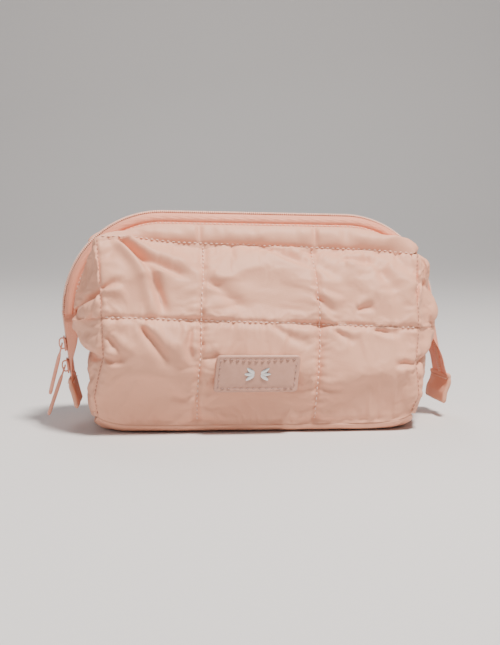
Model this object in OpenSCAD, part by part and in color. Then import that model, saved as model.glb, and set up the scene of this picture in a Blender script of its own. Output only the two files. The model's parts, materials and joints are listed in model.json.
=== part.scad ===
// Quilted makeup bag with a two-way zip over a sprung wire mouth, in millimetres.
// The bag stands on its base at z = 0, its front faces -Y and its zip ends hang at -X and +X.

/* [Bag body] */
// Half of the width between the two side seams
half_width = 97; // [90:1:104]
// Half of the depth from front to back
half_depth = 44; // [40:1:48]
// Height of the middle quilting seam, where the mouth halves tilt
fold_height = 68; // [64:1:70]
// How far the front and back bellies stand out
belly = 4; // [1:0.5:5]
// How far the side gussets stand out past the side seams
gusset_puff = 12; // [8:1:13]

/* [Fabric layers] */
// Thickness of the outer shell fabric
shell_thick = 0.8; // [0.5:0.1:1]
// Thickness of the wadding
wadding_thick = 4; // [3:0.5:5]
// Thickness of the lining fabric
lining_thick = 0.5; // [0.4:0.1:0.8]

/* [Zip arch] */
// Radius of the arch's two shoulders, along the zip's centre line
shoulder_radius = 61; // [60:0.5:62]
// Half of the straight run along the top of the zip
half_run = 58; // [56:1:60]
// Diameter of the sprung mouth wires
wire_diameter = 2.2; // [1.6:0.1:2.4]
// Turn of the zip arch about the vertical, against the base
arch_twist = 6; // [0:1:7]
// Drop of the zip arch towards its right end, in degrees
arch_roll = 1.3; // [0:0.1:1.5]

/* [Zip sliders and ends] */
// Length of each slider
slider_length = 9.4; // [9:0.1:10]
// Length of each puller, from its pivot to its tip
puller_length = 33; // [28:1:34]
// Width of the zip tape
tape_width = 28; // [26:1:30]
// Height of each fabric tab
tab_height = 19; // [16:1:20]

/* [Badge] */
// Width of the leather badge
badge_width = 50; // [44:1:54]
// Height of the leather badge
badge_height = 22; // [18:1:24]

/* [Hidden] */
shell_colour = [0.92, 0.78, 0.71];
zip_colour = [0.96, 0.73, 0.66];
layer_gap = 0.1;
seam_gap = 0.4;
base_inset = 3;
base_corner = 14;
base_thick = shell_thick + layer_gap + wadding_thick + layer_gap + lining_thick;
wadding_from = shell_thick + layer_gap;
lining_from = wadding_from + wadding_thick + layer_gap;
wall_thick = lining_from + lining_thick;
wall_foot = base_thick + seam_gap;
arch_height = 71.5;
tape_rise = 6;
tape_inner = 3.1;
tape_thick = 0.7;
mouth_reach = 9;
channel_width = 9.5;
channel_thick = 5.4;
channel_lean = 24;
channel_radial = shoulder_radius - tape_rise - channel_width / 2 + 0.2;
channel_offset = mouth_reach + 2.2;
wire_clearance = 0.3;
rim_radius = shoulder_radius - tape_rise - channel_width - 0.6;
rim_offset = channel_offset + 2.2;
leg_angle = 4;
corner_angle = 44;
corner_forward = 7.5;
corner_drop = 4;
panel_trim = 0.018;
wing_trim = 0.02;
wing_thick = 1.6;
teeth_gap = 0.75;
teeth_outer = 2.9;
teeth_thick = 1.9;
tail_angle = 7.9;
tail_top_angle = 1.5;
tail_straight = 47.5;
tail_length = 54.5;
upper_slider_drop = 13.6;
lower_slider_drop = 27.7;
tab_overhang = 5.5;
tab_thick = 2.6;
right_tail_flare = 11.5;
slider_half_width = 4.2;
slider_plate = 1.0;
slider_half_gap = 1.25;
slider_flange = 0.8;
slider_slot = 0.65;
bridge_height = 3.1;
bridge_thick = 0.9;
bridge_half_width = 0.8;
pivot_radius = 0.55;
pivot_rise = 1.15;
puller_width = 3.4;
puller_thick = 1.5;
upper_puller_lean = 13;
lower_puller_lean = 18;
badge_thick = 1.4;
badge_corner = 2;
badge_centre_height = 37;
emblem_thick = 0.5;
facets = 48;

// ---- Shape functions ----

function smooth(t) = t <= 0 ? 0 : t >= 1 ? 1 : t * t * (3 - 2 * t);
function mix(a, b, t) = a + (b - a) * t;
function unit(v) = v / norm(v);

// The lean turns the upper bag about the middle of the fold; below the fold it fades out towards the base.
function turned(p, twist, roll) =
    let (d = p - [0, 0, fold_height],
         r = [d.x * cos(roll) + d.z * sin(roll), d.y, -d.x * sin(roll) + d.z * cos(roll)])
    [r.x * cos(twist) - r.y * sin(twist), r.x * sin(twist) + r.y * cos(twist), r.z + fold_height];
function leaned(p) =
    let (share = smooth(p.z / fold_height))
    turned(p, arch_twist * share, arch_roll * share);

// Half depth of the walls at a height below the fold
function wall_depth(z) = half_depth - 2.5 * pow(max(0, 1 - z / 26), 2) + 1.6 * sin(180 * z / fold_height);

// Outer face of the front wall below the fold; u runs from left to right and v from bottom to top.
function front_face(u, v) =
    let (z = mix(wall_foot, fold_height - seam_gap / 2, v))
    [u * half_width, -wall_depth(z) - belly * (1 - pow(u, 4)) * sin(180 * min(1, 0.15 + 0.85 * v)), z];

// Outer face of the left gusset below the fold; u runs from back to front.
function gusset_face(u, v) =
    let (z = mix(wall_foot, fold_height - seam_gap / 2, v))
    [-half_width - gusset_puff * (1 - u * u) * (0.75 + 0.25 * sin(180 * v)), -u * wall_depth(z), z];

// Top edge of the front panel, along the wire channel and out to its corners in front of the shoulders
function top_edge(u) = [
    u * half_width,
    -rim_offset - corner_forward * pow(abs(u), 3),
    arch_height + rim_radius - corner_drop * pow(abs(u), 5)
];

// Inner edge of the front wire channel where it goes down the side of a shoulder
function rim_arc(angle, side) =
    [side * (half_run + rim_radius * cos(angle)), -rim_offset, arch_height + rim_radius * sin(angle)];

// Outer face of the front panel above the fold, from the fold line up to the wire channel
function upper_face(u, v) =
    let (foot = [u * half_width, -half_depth, fold_height + seam_gap / 2],
         top = top_edge(u),
         swell = belly * 0.7 * (1 - pow(u, 4)) * sin(180 * v))
    mix(foot, top, v) + swell * [0, -0.8, 0.6];

// Outer face of the front half of the left gusset above the fold, from the side seam to the zip leg
function wing_face(u, v) =
    let (seam = mix([-half_width, -half_depth, fold_height + seam_gap / 2], top_edge(-1), v),
         leg = rim_arc(mix(leg_angle, corner_angle, v), -1),
         along = mix(0.04 + 0.08 * v, 0.97, u))
    mix(seam, leg, along) + 3 * sin(180 * u) * (1 - v) * [-1, 0, 0];

// A point at a depth below a face, measured along the face's own normal
function below(face, u, v, depth, way) =
    let (step = 0.01,
         across = face(min(1, u + step), v) - face(max(-1, u - step), v),
         up = face(u, min(1, v + step)) - face(u, max(0, v - step)))
    face(u, v) + depth * way * unit(cross(across, up));

// ---- Sheets between two depths below a face ----

// Each layer starts higher up its face by trim times its depth, so that a wall can fold over the one below.
module sheet(face, from, to, columns, rows, way, u_range, inset, lean, trim = 0) {
    function u_at(i, depth) =
        let (edge = (inset * (depth + seam_gap)) / half_width)
        mix(u_range[0] + edge, u_range[1] - edge, i / columns);
    function point(i, j, depth) =
        let (p = below(face, u_at(i, depth), mix(trim * depth, 1, j / rows), depth, way))
        lean ? leaned(p) : p;
    stride = columns + 1;
    layer = stride * (rows + 1);
    points = [for (depth = [from, to]) for (j = [0:rows]) for (i = [0:columns]) point(i, j, depth)];
    outer = [for (j = [0:rows - 1]) for (i = [0:columns - 1]) for (half = [0, 1])
        let (a = j * stride + i, b = a + 1, c = a + stride, d = c + 1) half == 0 ? [a, b, d] : [a, d, c]];
    inner = [for (f = outer) [f[2] + layer, f[1] + layer, f[0] + layer]];
    rim = concat(
        [for (i = [0:columns - 1]) i],
        [for (j = [0:rows - 1]) j * stride + columns],
        [for (i = [columns:-1:1]) rows * stride + i],
        [for (j = [rows:-1:1]) j * stride]);
    edge = [for (k = [0:len(rim) - 1]) for (half = [0, 1])
        let (a = rim[k], b = rim[(k + 1) % len(rim)])
        half == 0 ? [b, a, a + layer] : [b, a + layer, b + layer]];
    faces = concat(outer, inner, edge);
    polyhedron(points, way > 0 ? [for (f = faces) [f[2], f[1], f[0]]] : faces, convexity = 6);
}

module front_wall(from, to) {
    sheet(function (u, v) front_face(u, v), from, to, 16, 8, -1, [-1, 1], 1, true);
}

// The back half is the front half turned half a turn, so it is drawn by the same faces.
module back_wall(from, to) {
    sheet(function (u, v) let (p = front_face(-u, v)) [p.x, -p.y, p.z],
        from, to, 16, 8, -1, [-1, 1], 1, true);
}

module gusset_wall(side, from, to) {
    sheet(function (u, v) let (p = gusset_face(side * u, v)) [-side * p.x, p.y, p.z],
        from, to, 12, 8, 1, [-1, 1], half_width / half_depth, true);
}

module upper_wall(side, from, to) {
    lean_top() rotate([0, 0, side > 0 ? 180 : 0])
        sheet(function (u, v) upper_face(u, v), from, to, 24, 8, -1, [-1, 1], 1.5, false, panel_trim);
}

module wing(side_x, side_y) {
    lean_top() mirror([side_x > 0 ? 1 : 0, 0, 0]) mirror([0, side_y > 0 ? 1 : 0, 0])
        sheet(function (u, v) wing_face(u, v), 0, wing_thick, 6, 8, 1, [0, 1], 0, false, wing_trim);
}

// ---- Sweeps along the zip arch ----

module lean_top() {
    translate([0, 0, fold_height]) rotate([0, 0, arch_twist]) rotate([0, arch_roll, 0])
        translate([0, 0, -fold_height]) children();
}

// Puts a point of the arch's outline, at radius r from the shoulder centre, at station k along the zip.
function arch_station(k, r, y) =
    let (turn_steps = 11,
         side = k <= turn_steps ? -1 : 1,
         step = side < 0 ? k : 2 * turn_steps + 1 - k,
         angle = mix(leg_angle, 90, step / turn_steps))
    [side * (half_run + r * cos(angle)), y, arch_height + r * sin(angle)];

// The left tail goes on round the shoulder from its top angle, and then hangs straight down.
function tail_station(k, r, y, top_angle) =
    let (angle = mix(top_angle, tail_angle, min(k, 3) / 3),
         drop = k > 3 ? tail_straight : 0)
    [
        -half_run - r * cos(angle) + drop * sin(tail_angle),
        y,
        arch_height - r * sin(angle) - drop * cos(tail_angle)
    ];

// One closed solid through all the stations. The outline is a list of [radius, y] points, as is the hole.
module path_solid(place, stations, outline, hole = []) {
    loops = len(hole) > 0 ? [outline, hole] : [outline];
    starts = [0, len(outline) * (stations + 1)];
    points = [for (loop = loops) for (k = [0:stations]) for (p = loop) place(k, p[0], p[1])];
    function quads(n, start, flip) = [for (k = [0:stations - 1]) for (i = [0:n - 1])
        let (a = start + k * n + i, b = start + k * n + (i + 1) % n, c = a + n, d = b + n)
        each flip ? [[a, b, d], [a, d, c]] : [[a, d, b], [a, c, d]]];
    function ring(n, start, k) = [for (i = [0:n - 1]) start + k * n + i];
    function flipped(list) = [for (i = [len(list) - 1:-1:0]) list[i]];
    n = len(outline);
    m = len(hole);
    function cap(k) = m == 0 ? [ring(n, 0, k)] : [for (i = [0:n - 1])
        let (a = k * n + i, b = k * n + (i + 1) % n, c = starts[1] + a, d = starts[1] + b)
        [a, b, d, c]];
    walls = concat(quads(n, 0, false), m == 0 ? [] : quads(m, starts[1], true));
    near = cap(0);
    far = [for (f = cap(stations)) flipped(f)];
    polyhedron(points, concat(walls, near, far), convexity = 6);
}

module arch_solid(outline, hole = []) {
    lean_top() path_solid(function (k, r, y) arch_station(k, r, y), 23, outline, hole);
}

module tail_solid(top_angle, outline) {
    lean_top() path_solid(function (k, r, y) tail_station(k, r, y, top_angle), 4, outline);
}

function strip_outline(side, inner, outer, thick) =
    let (low = shoulder_radius - thick / 2,
         high = shoulder_radius + thick / 2,
         corners = [[low, side * inner], [high, side * inner], [high, side * outer], [low, side * outer]])
    side > 0 ? corners : [for (i = [3:-1:0]) corners[i]];

function ring_outline(radius_at, count, centre) =
    [for (i = [0:count - 1]) let (a = 360 * i / count, r = radius_at(a)) centre + r * [cos(a), sin(a)]];

// Half thickness of the channel at an angle round its own axis: a flattened tube that leans into the mouth
function channel_at(a) =
    let (long = channel_width / 2, short = channel_thick / 2)
    1 / sqrt(pow(cos(a) / long, 2) + pow(sin(a) / short, 2));

module channel_solid(side) {
    centre = [channel_radial, side * channel_offset];
    outline = ring_outline(function (a) channel_at(a + side * channel_lean), 20, centre);
    hole = ring_outline(function (a) wire_diameter / 2 + wire_clearance + 0.1, 20, centre);
    arch_solid(outline, hole);
}

module wire_solid(side) {
    arch_solid(ring_outline(function (a) wire_diameter / 2, 14, [channel_radial, side * channel_offset]));
}

module tape_solid(side) {
    corners = [
        [shoulder_radius - tape_thick / 2, side * tape_inner],
        [shoulder_radius + tape_thick / 2, side * tape_inner],
        [shoulder_radius - tape_rise + tape_thick, side * (mouth_reach + 0.2)],
        [shoulder_radius - tape_rise, side * (mouth_reach - 0.4)]
    ];
    arch_solid(side > 0 ? corners : [for (i = [3:-1:0]) corners[i]]);
}

module teeth_solid(side) {
    arch_solid(strip_outline(side, teeth_gap, teeth_outer, teeth_thick));
}

// ---- Zip tails, tabs, sliders and pullers ----

// Places a part on the arch at an angle below the left shoulder's centre, x outward and z up along the zip.
module on_left_arch(angle) {
    lean_top() translate([-half_run, 0, arch_height]) rotate([0, -angle, 0])
        translate([-shoulder_radius, 0, 0]) mirror([1, 0, 0]) children();
}

// Places a part on the straight left tail, at a distance below the end of the curve.
module on_left_tail(distance) {
    on_left_arch(tail_angle) translate([0, 0, -distance]) children();
}

module on_right_tail(below_top) {
    lean_top() translate([half_run + shoulder_radius, 0, arch_height]) rotate([0, -right_tail_flare, 0])
        translate([0, 0, -below_top]) children();
}

module left_tail_strip(inner, outer, thick, top_angle) {
    for (side = [-1, 1]) tail_solid(top_angle, strip_outline(side, inner, outer, thick));
}

module right_tail_strip(inner, outer, thick, start) {
    for (side = [-1, 1])
        on_right_tail(tail_length)
            translate([-thick / 2, side > 0 ? inner : -outer, 0])
                cube([thick, outer - inner, tail_length - start]);
}

module tab_block() {
    translate([-tab_thick / 2, -tape_width / 2 - 1, 0]) difference() {
        cube([tab_thick, tape_width + 2, tab_height]);
        translate([tab_thick / 2 - 1.1, 0.6, tab_overhang - 0.3])
            cube([2.2, tape_width + 0.8, tab_height]);
    }
}

module slider_body() {
    outer = slider_half_gap + slider_plate;
    for (side = [0, 1]) mirror([side, 0, 0])
        translate([slider_half_gap, -slider_half_width, -slider_length / 2])
            cube([slider_plate, 2 * slider_half_width, slider_length]);
    for (side_x = [0, 1]) for (side_y = [0, 1]) mirror([side_x, 0, 0]) mirror([0, side_y, 0])
        translate([slider_slot, slider_half_width - slider_flange, -slider_length / 2])
            cube([outer - slider_slot, slider_flange, slider_length]);
    translate([-outer, -teeth_gap + 0.2, slider_length / 2 - 2])
        cube([2 * outer, 2 * teeth_gap - 0.4, 2]);
    for (foot = [slider_length / 2 - 2.2, -slider_length / 2 + 1])
        translate([outer - 0.01, -bridge_half_width, foot])
            cube([bridge_height, 2 * bridge_half_width, 1.2]);
    translate([outer + bridge_height - bridge_thick, -bridge_half_width, -slider_length / 2 + 1])
        cube([bridge_thick, 2 * bridge_half_width, slider_length - 2]);
}

// The puller hangs down -Z from a round bar that passes under the slider's bridge.
module puller_shape() {
    eye_length = 7.5;
    eye_arm = 0.8;
    arm_y = bridge_half_width + 0.5;
    rotate([90, 0, 0]) cylinder(r = pivot_radius, h = 2 * (arm_y + eye_arm), center = true, $fn = facets);
    for (side = [0, 1]) mirror([0, side, 0])
        translate([-pivot_radius, arm_y, -eye_length])
            cube([2 * pivot_radius, eye_arm, eye_length + pivot_radius]);
    hull() {
        translate([-puller_thick / 2, -arm_y - eye_arm, -eye_length - 1.4])
            cube([puller_thick, 2 * (arm_y + eye_arm), 1.6]);
        translate([0, 0, -puller_length + puller_width / 2]) rotate([0, 90, 0])
            cylinder(d = puller_width, h = puller_thick, center = true, $fn = 32);
    }
}

pivot_out = slider_half_gap + slider_plate + pivot_rise;

// ---- Badge ----

module badge_blank(width, height, corner, thick) {
    rotate([90, 0, 0]) linear_extrude(thick) union() {
        square([width, height - 2 * corner], center = true);
        square([width - 2 * corner, height], center = true);
        for (sx = [-1, 1]) for (sy = [-1, 1])
            translate([sx * (width / 2 - corner), sy * (height / 2 - corner)]) circle(corner, $fn = facets);
    }
}

module badge_place(depth) {
    twist = arch_twist * smooth(badge_centre_height / fold_height);
    rotate([0, 0, twist])
        translate([0, -wall_depth(badge_centre_height) - belly - depth, badge_centre_height]) children();
}

// ---- One module per node ----

module rounded_plate(inset, from, thick) {
    long_x = half_width - inset;
    long_y = half_depth - inset;
    translate([0, 0, from]) linear_extrude(thick) union() {
        square([2 * long_x, 2 * (long_y - base_corner)], center = true);
        square([2 * (long_x - base_corner), 2 * long_y], center = true);
        for (sx = [-1, 1]) for (sy = [-1, 1])
            translate([sx * (long_x - base_corner), sy * (long_y - base_corner)])
                circle(base_corner, $fn = facets);
    }
}

module base_shell() { color(shell_colour) rounded_plate(base_inset, 0, shell_thick); }
module base_wadding() { color("white") rounded_plate(base_inset, wadding_from, wadding_thick); }
module base_lining() { color("mistyrose") rounded_plate(base_inset, lining_from, lining_thick); }

module front_lower_shell() { color(shell_colour) front_wall(0, shell_thick); }
module front_lower_wadding() { color("white") front_wall(wadding_from, wadding_from + wadding_thick); }
module front_lower_lining() { color("mistyrose") front_wall(lining_from, wall_thick); }
module back_lower_shell() { color(shell_colour) back_wall(0, shell_thick); }
module back_lower_wadding() { color("white") back_wall(wadding_from, wadding_from + wadding_thick); }
module back_lower_lining() { color("mistyrose") back_wall(lining_from, wall_thick); }

module left_gusset_shell() { color(shell_colour) gusset_wall(1, 0, shell_thick); }
module left_gusset_wadding() { color("white") gusset_wall(1, wadding_from, wadding_from + wadding_thick); }
module left_gusset_lining() { color("mistyrose") gusset_wall(1, lining_from, wall_thick); }
module right_gusset_shell() { color(shell_colour) gusset_wall(-1, 0, shell_thick); }
module right_gusset_wadding() { color("white") gusset_wall(-1, wadding_from, wadding_from + wadding_thick); }
module right_gusset_lining() { color("mistyrose") gusset_wall(-1, lining_from, wall_thick); }

module front_upper_shell() { color(shell_colour) upper_wall(-1, 0, shell_thick); }
module front_upper_wadding() { color("white") upper_wall(-1, wadding_from, wadding_from + wadding_thick); }
module front_upper_lining() { color("mistyrose") upper_wall(-1, lining_from, wall_thick); }
module back_upper_shell() { color(shell_colour) upper_wall(1, 0, shell_thick); }
module back_upper_wadding() { color("white") upper_wall(1, wadding_from, wadding_from + wadding_thick); }
module back_upper_lining() { color("mistyrose") upper_wall(1, lining_from, wall_thick); }

module front_left_wing() { color(shell_colour) wing(-1, -1); }
module front_right_wing() { color(shell_colour) wing(1, -1); }
module back_left_wing() { color(shell_colour) wing(-1, 1); }
module back_right_wing() { color(shell_colour) wing(1, 1); }

module front_wire_channel() { color(shell_colour) channel_solid(-1); }
module back_wire_channel() { color(shell_colour) channel_solid(1); }
module front_wire() { color("silver") wire_solid(-1); }
module back_wire() { color("silver") wire_solid(1); }
module front_zip_tape() { color(zip_colour) tape_solid(-1); }
module back_zip_tape() { color(zip_colour) tape_solid(1); }
module front_zip_teeth() { color(zip_colour) teeth_solid(-1); }
module back_zip_teeth() { color(zip_colour) teeth_solid(1); }

module left_tail_tape() {
    color(zip_colour) left_tail_strip(tape_inner, tape_width / 2, tape_thick, tail_top_angle + 3);
}
module right_tail_tape() { color(zip_colour) right_tail_strip(tape_inner, tape_width / 2, tape_thick, 4); }
module left_tail_teeth() {
    color(zip_colour) left_tail_strip(teeth_gap, teeth_outer, teeth_thick, tail_top_angle);
}
module right_tail_teeth() { color(zip_colour) right_tail_strip(teeth_gap, teeth_outer, teeth_thick, 1.5); }
module left_tab() { color(shell_colour) on_left_tail(tail_straight + tab_overhang) tab_block(); }
module right_tab() { color(shell_colour) on_right_tail(tail_length + tab_overhang) tab_block(); }

module upper_slider() { color(zip_colour) on_left_tail(upper_slider_drop) mirror([0, 0, 1]) slider_body(); }
module lower_slider() { color(zip_colour) on_left_tail(lower_slider_drop) slider_body(); }
module upper_puller() {
    color(zip_colour) on_left_tail(upper_slider_drop) translate([pivot_out, 0, 0])
        rotate([0, -tail_angle - upper_puller_lean, 0]) puller_shape();
}
module lower_puller() {
    color(zip_colour) on_left_tail(lower_slider_drop) translate([pivot_out, 0, 0])
        rotate([0, -tail_angle - lower_puller_lean, 0]) puller_shape();
}

module badge() {
    color([0.84, 0.67, 0.6]) badge_place(0.6)
        badge_blank(badge_width, badge_height, badge_corner, badge_thick);
}
module badge_emblem() {
    color("silver") badge_place(0.6 + badge_thick)
        for (side = [-1, 1]) for (turn = [-36, 0, 36])
            translate([side * 1.6, 0, 0]) rotate([0, turn * side, 0]) translate([side * 3.4, 0, 0])
                rotate([90, 0, 0]) linear_extrude(emblem_thick) scale([1, 0.45]) circle(2.6, $fn = facets);
}

base_shell();
base_wadding();
base_lining();
front_lower_shell();
front_lower_wadding();
front_lower_lining();
back_lower_shell();
back_lower_wadding();
back_lower_lining();
left_gusset_shell();
left_gusset_wadding();
left_gusset_lining();
right_gusset_shell();
right_gusset_wadding();
right_gusset_lining();
front_upper_shell();
front_upper_wadding();
front_upper_lining();
back_upper_shell();
back_upper_wadding();
back_upper_lining();
front_left_wing();
front_right_wing();
back_left_wing();
back_right_wing();
front_wire_channel();
back_wire_channel();
front_wire();
back_wire();
front_zip_tape();
back_zip_tape();
front_zip_teeth();
back_zip_teeth();
left_tail_tape();
right_tail_tape();
left_tail_teeth();
right_tail_teeth();
left_tab();
right_tab();
upper_slider();
lower_slider();
upper_puller();
lower_puller();
badge();
badge_emblem();
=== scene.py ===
"""The quilted makeup bag's look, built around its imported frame.

Lengths are in metres and angles in degrees. The soft walls are drawn in an upright bag first, and the
lean then turns the upper bag the few degrees that the real one has slumped.
"""

import json
import logging
import math
from dataclasses import dataclass
from enum import Enum
from typing import Optional, Sequence

import bmesh
import bpy
import numpy as np
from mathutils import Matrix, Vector, noise

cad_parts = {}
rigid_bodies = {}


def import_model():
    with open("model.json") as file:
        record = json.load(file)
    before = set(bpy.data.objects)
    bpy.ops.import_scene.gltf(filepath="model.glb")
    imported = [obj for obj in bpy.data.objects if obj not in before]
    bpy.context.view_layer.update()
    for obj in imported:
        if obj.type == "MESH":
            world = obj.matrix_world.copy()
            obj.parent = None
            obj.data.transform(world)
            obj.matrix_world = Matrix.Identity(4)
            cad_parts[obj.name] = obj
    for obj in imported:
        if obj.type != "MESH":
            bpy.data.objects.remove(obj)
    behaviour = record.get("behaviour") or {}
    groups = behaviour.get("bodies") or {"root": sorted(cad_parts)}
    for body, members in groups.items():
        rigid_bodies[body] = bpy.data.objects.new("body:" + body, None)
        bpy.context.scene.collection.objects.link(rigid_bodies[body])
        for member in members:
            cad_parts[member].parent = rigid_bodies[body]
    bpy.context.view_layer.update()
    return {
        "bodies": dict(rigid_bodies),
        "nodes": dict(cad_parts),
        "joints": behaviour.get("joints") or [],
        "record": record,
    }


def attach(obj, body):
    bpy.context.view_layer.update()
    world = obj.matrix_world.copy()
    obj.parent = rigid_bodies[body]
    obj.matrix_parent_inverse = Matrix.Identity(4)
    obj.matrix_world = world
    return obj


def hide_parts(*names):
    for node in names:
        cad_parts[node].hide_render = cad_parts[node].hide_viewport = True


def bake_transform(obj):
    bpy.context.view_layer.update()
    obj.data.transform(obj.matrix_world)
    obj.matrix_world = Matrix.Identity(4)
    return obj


log = logging.getLogger("makeup_bag")
Array = np.ndarray
MM = 0.001

HALF_WIDTH = 97 * MM
HALF_DEPTH = 44 * MM
FOLD = 68 * MM
SHOULDER_X = 58 * MM
ARCH_Z = 71.5 * MM
ARCH_R = 61 * MM
TWIST = math.radians(6)
ROLL = math.radians(1.3)
SEAM_Z = 5.5 * MM
WALL = 5.6 * MM
CORNER_X = 98.5 * MM
COIL_PITCH = 1.25 * MM

# How far each side seam wanders from the straight, in mm, against the height: 0 at the base, 1 at the fold
# and 2 at the channel.
SEAM_LEVELS = (0, 0.2, 0.45, 0.6, 0.75, 1, 1.5, 2)
LEFT_SEAM = (-0.6, -2.0, 0.6, 2.4, 1.4, 0.5, 0, -0.6)
RIGHT_SEAM = (0.6, 3.6, 1.0, -0.6, -0.2, 0.4, 0.9, 2.6)


class End(Enum):
    """The bag's two ends, as seen from the front."""

    LEFT = -1
    RIGHT = 1


class Side(Enum):
    """The two halves on either side of the zip."""

    FRONT = -1
    BACK = 1

    @property
    def flap(self) -> str:
        """The body that this half's mouth rides on."""
        return "front_flap" if self is Side.FRONT else "back_flap"

    @property
    def word(self) -> str:
        """The half's name, as its pieces carry it."""
        return self.name.lower()

    def turned(self, grid: Array) -> Array:
        """Puts a grid of the front half on this half, with its outer face still outward."""
        return grid if self is Side.FRONT else turn_z(grid, math.pi)


def smooth(t: Array) -> Array:
    """A soft step from 0 to 1."""
    t = np.clip(t, 0, 1)
    return t * t * (3 - 2 * t)


def turn_z(points: Array, angle: float) -> Array:
    """Turns points about the vertical.

    Args:
        points: the places to turn.
        angle: the turn in radians.

    Returns:
        The turned places.
    """
    c, s = math.cos(angle), math.sin(angle)
    x, y, z = points[..., 0], points[..., 1], points[..., 2]
    return np.stack([c * x - s * y, s * x + c * y, z], axis=-1)


def lean(points: Array, full: bool = False) -> Array:
    """Turns the upper bag as the real one has slumped.

    Args:
        points: places in the upright bag.
        full: whether a piece turns whole, as the zip and its ends do, wherever it is.

    Returns:
        The places in the slumped bag.
    """
    share = np.ones(points.shape[:-1]) if full else smooth(points[..., 2] / FOLD)
    d = points - np.array([0, 0, FOLD])
    roll, twist = ROLL * share, TWIST * share
    x = d[..., 0] * np.cos(roll) + d[..., 2] * np.sin(roll)
    z = -d[..., 0] * np.sin(roll) + d[..., 2] * np.cos(roll)
    y = d[..., 1]
    c, s = np.cos(twist), np.sin(twist)
    return np.stack([x * c - y * s, x * s + y * c, z + FOLD], axis=-1)


def normals(grid: Array) -> Array:
    """Finds the unit normals of a grid, facing the side from which columns run right and rows run up.

    Args:
        grid: rows and columns of points.

    Returns:
        The normal at each point.
    """
    across = np.gradient(grid, axis=1)
    up = np.gradient(grid, axis=0)
    n = np.cross(across, up)
    return n / np.maximum(np.linalg.norm(n, axis=-1, keepdims=True), 1e-12)


def soft_noise(points: Array, size: float, seed: float = 0.0) -> Array:
    """Smooth noise from -1 to 1 at each point.

    Args:
        points: the places, in any array shape that ends in 3.
        size: how wide its lumps are.
        seed: which noise it is.

    Returns:
        The noise, in the same shape without its last axis.
    """
    flat = points.reshape(-1, 3)
    offset = Vector((seed, seed * 1.7, -seed))
    values = [noise.noise(Vector(p) / size + offset) for p in flat]
    return np.array(values).reshape(points.shape[:-1])


def grid_faces(rows: int, columns: int, closed: bool = False) -> list[tuple[int, int, int, int]]:
    """Lists the quads of a grid.

    Args:
        rows: how many rows of points it has.
        columns: how many points each row has.
        closed: whether its last column joins its first.

    Returns:
        The quads.
    """
    faces = []
    for j in range(rows - 1):
        for i in range(columns if closed else columns - 1):
            low, high, after = j * columns, (j + 1) * columns, (i + 1) % columns
            faces.append((low + i, low + after, high + after, high + i))
    return faces


def make_mesh(name: str, points: Array, faces: Sequence, finish: bpy.types.Material,
              level: int = 0) -> bpy.types.Object:
    """Makes a smooth-shaded mesh object.

    Args:
        name: the piece's name.
        points: its vertices, in any array shape that ends in 3.
        faces: its faces.
        finish: its material.
        level: subdivision levels that are applied to it.

    Returns:
        The new object.
    """
    mesh = bpy.data.meshes.new(name)
    mesh.from_pydata(points.reshape(-1, 3).tolist(), [], [tuple(int(i) for i in f) for f in faces])
    mesh.validate()
    mesh.shade_smooth()
    mesh.materials.append(finish)
    piece = bpy.data.objects.new(name, mesh)
    bpy.context.scene.collection.objects.link(piece)
    if level:
        subdivide(piece, level)
    return piece


def apply_modifiers(piece: bpy.types.Object) -> None:
    """Bakes a piece's modifiers into its mesh."""
    graph = bpy.context.evaluated_depsgraph_get()
    mesh = bpy.data.meshes.new_from_object(piece.evaluated_get(graph))
    piece.modifiers.clear()
    piece.data = mesh


def subdivide(piece: bpy.types.Object, level: int) -> None:
    """Rounds a piece by subdivision."""
    modifier = piece.modifiers.new("round", "SUBSURF")
    modifier.levels = modifier.render_levels = level
    apply_modifiers(piece)


def thicken(piece: bpy.types.Object, thick: float, offset: float = -1.0) -> None:
    """Gives a sheet a thickness.

    Args:
        piece: the sheet.
        thick: its thickness.
        offset: -1 to grow inward, 0 to grow both ways.
    """
    modifier = piece.modifiers.new("thick", "SOLIDIFY")
    modifier.thickness = thick
    modifier.offset = offset
    apply_modifiers(piece)


def grid_piece(name: str, grid: Array, finish: bpy.types.Material, closed: bool = False,
               level: int = 0) -> bpy.types.Object:
    """Makes a piece from a grid of points."""
    return make_mesh(name, grid, grid_faces(grid.shape[0], grid.shape[1], closed), finish, level)


def move_points(piece: bpy.types.Object, points: Array) -> None:
    """Gives a piece's points new places."""
    piece.data.vertices.foreach_set("co", points.ravel())
    piece.data.update()


def point_array(piece: bpy.types.Object) -> Array:
    """The places of a piece's points."""
    return np.array([v.co for v in piece.data.vertices])


def face_outward(piece: bpy.types.Object) -> None:
    """Turns all of a closed piece's faces outward."""
    mesh = bmesh.new()
    mesh.from_mesh(piece.data)
    bmesh.ops.recalc_face_normals(mesh, faces=mesh.faces)
    mesh.to_mesh(piece.data)
    mesh.free()


def keep(piece: bpy.types.Object, body: str, slot: str, *nodes: str) -> None:
    """Lets a finished piece ride on a body.

    Args:
        piece: the piece.
        body: the body that carries it.
        slot: not used.
        nodes: the frame's nodes that it stands for, if any.
    """
    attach(piece, body)
    if nodes:
        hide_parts(*nodes)


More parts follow.
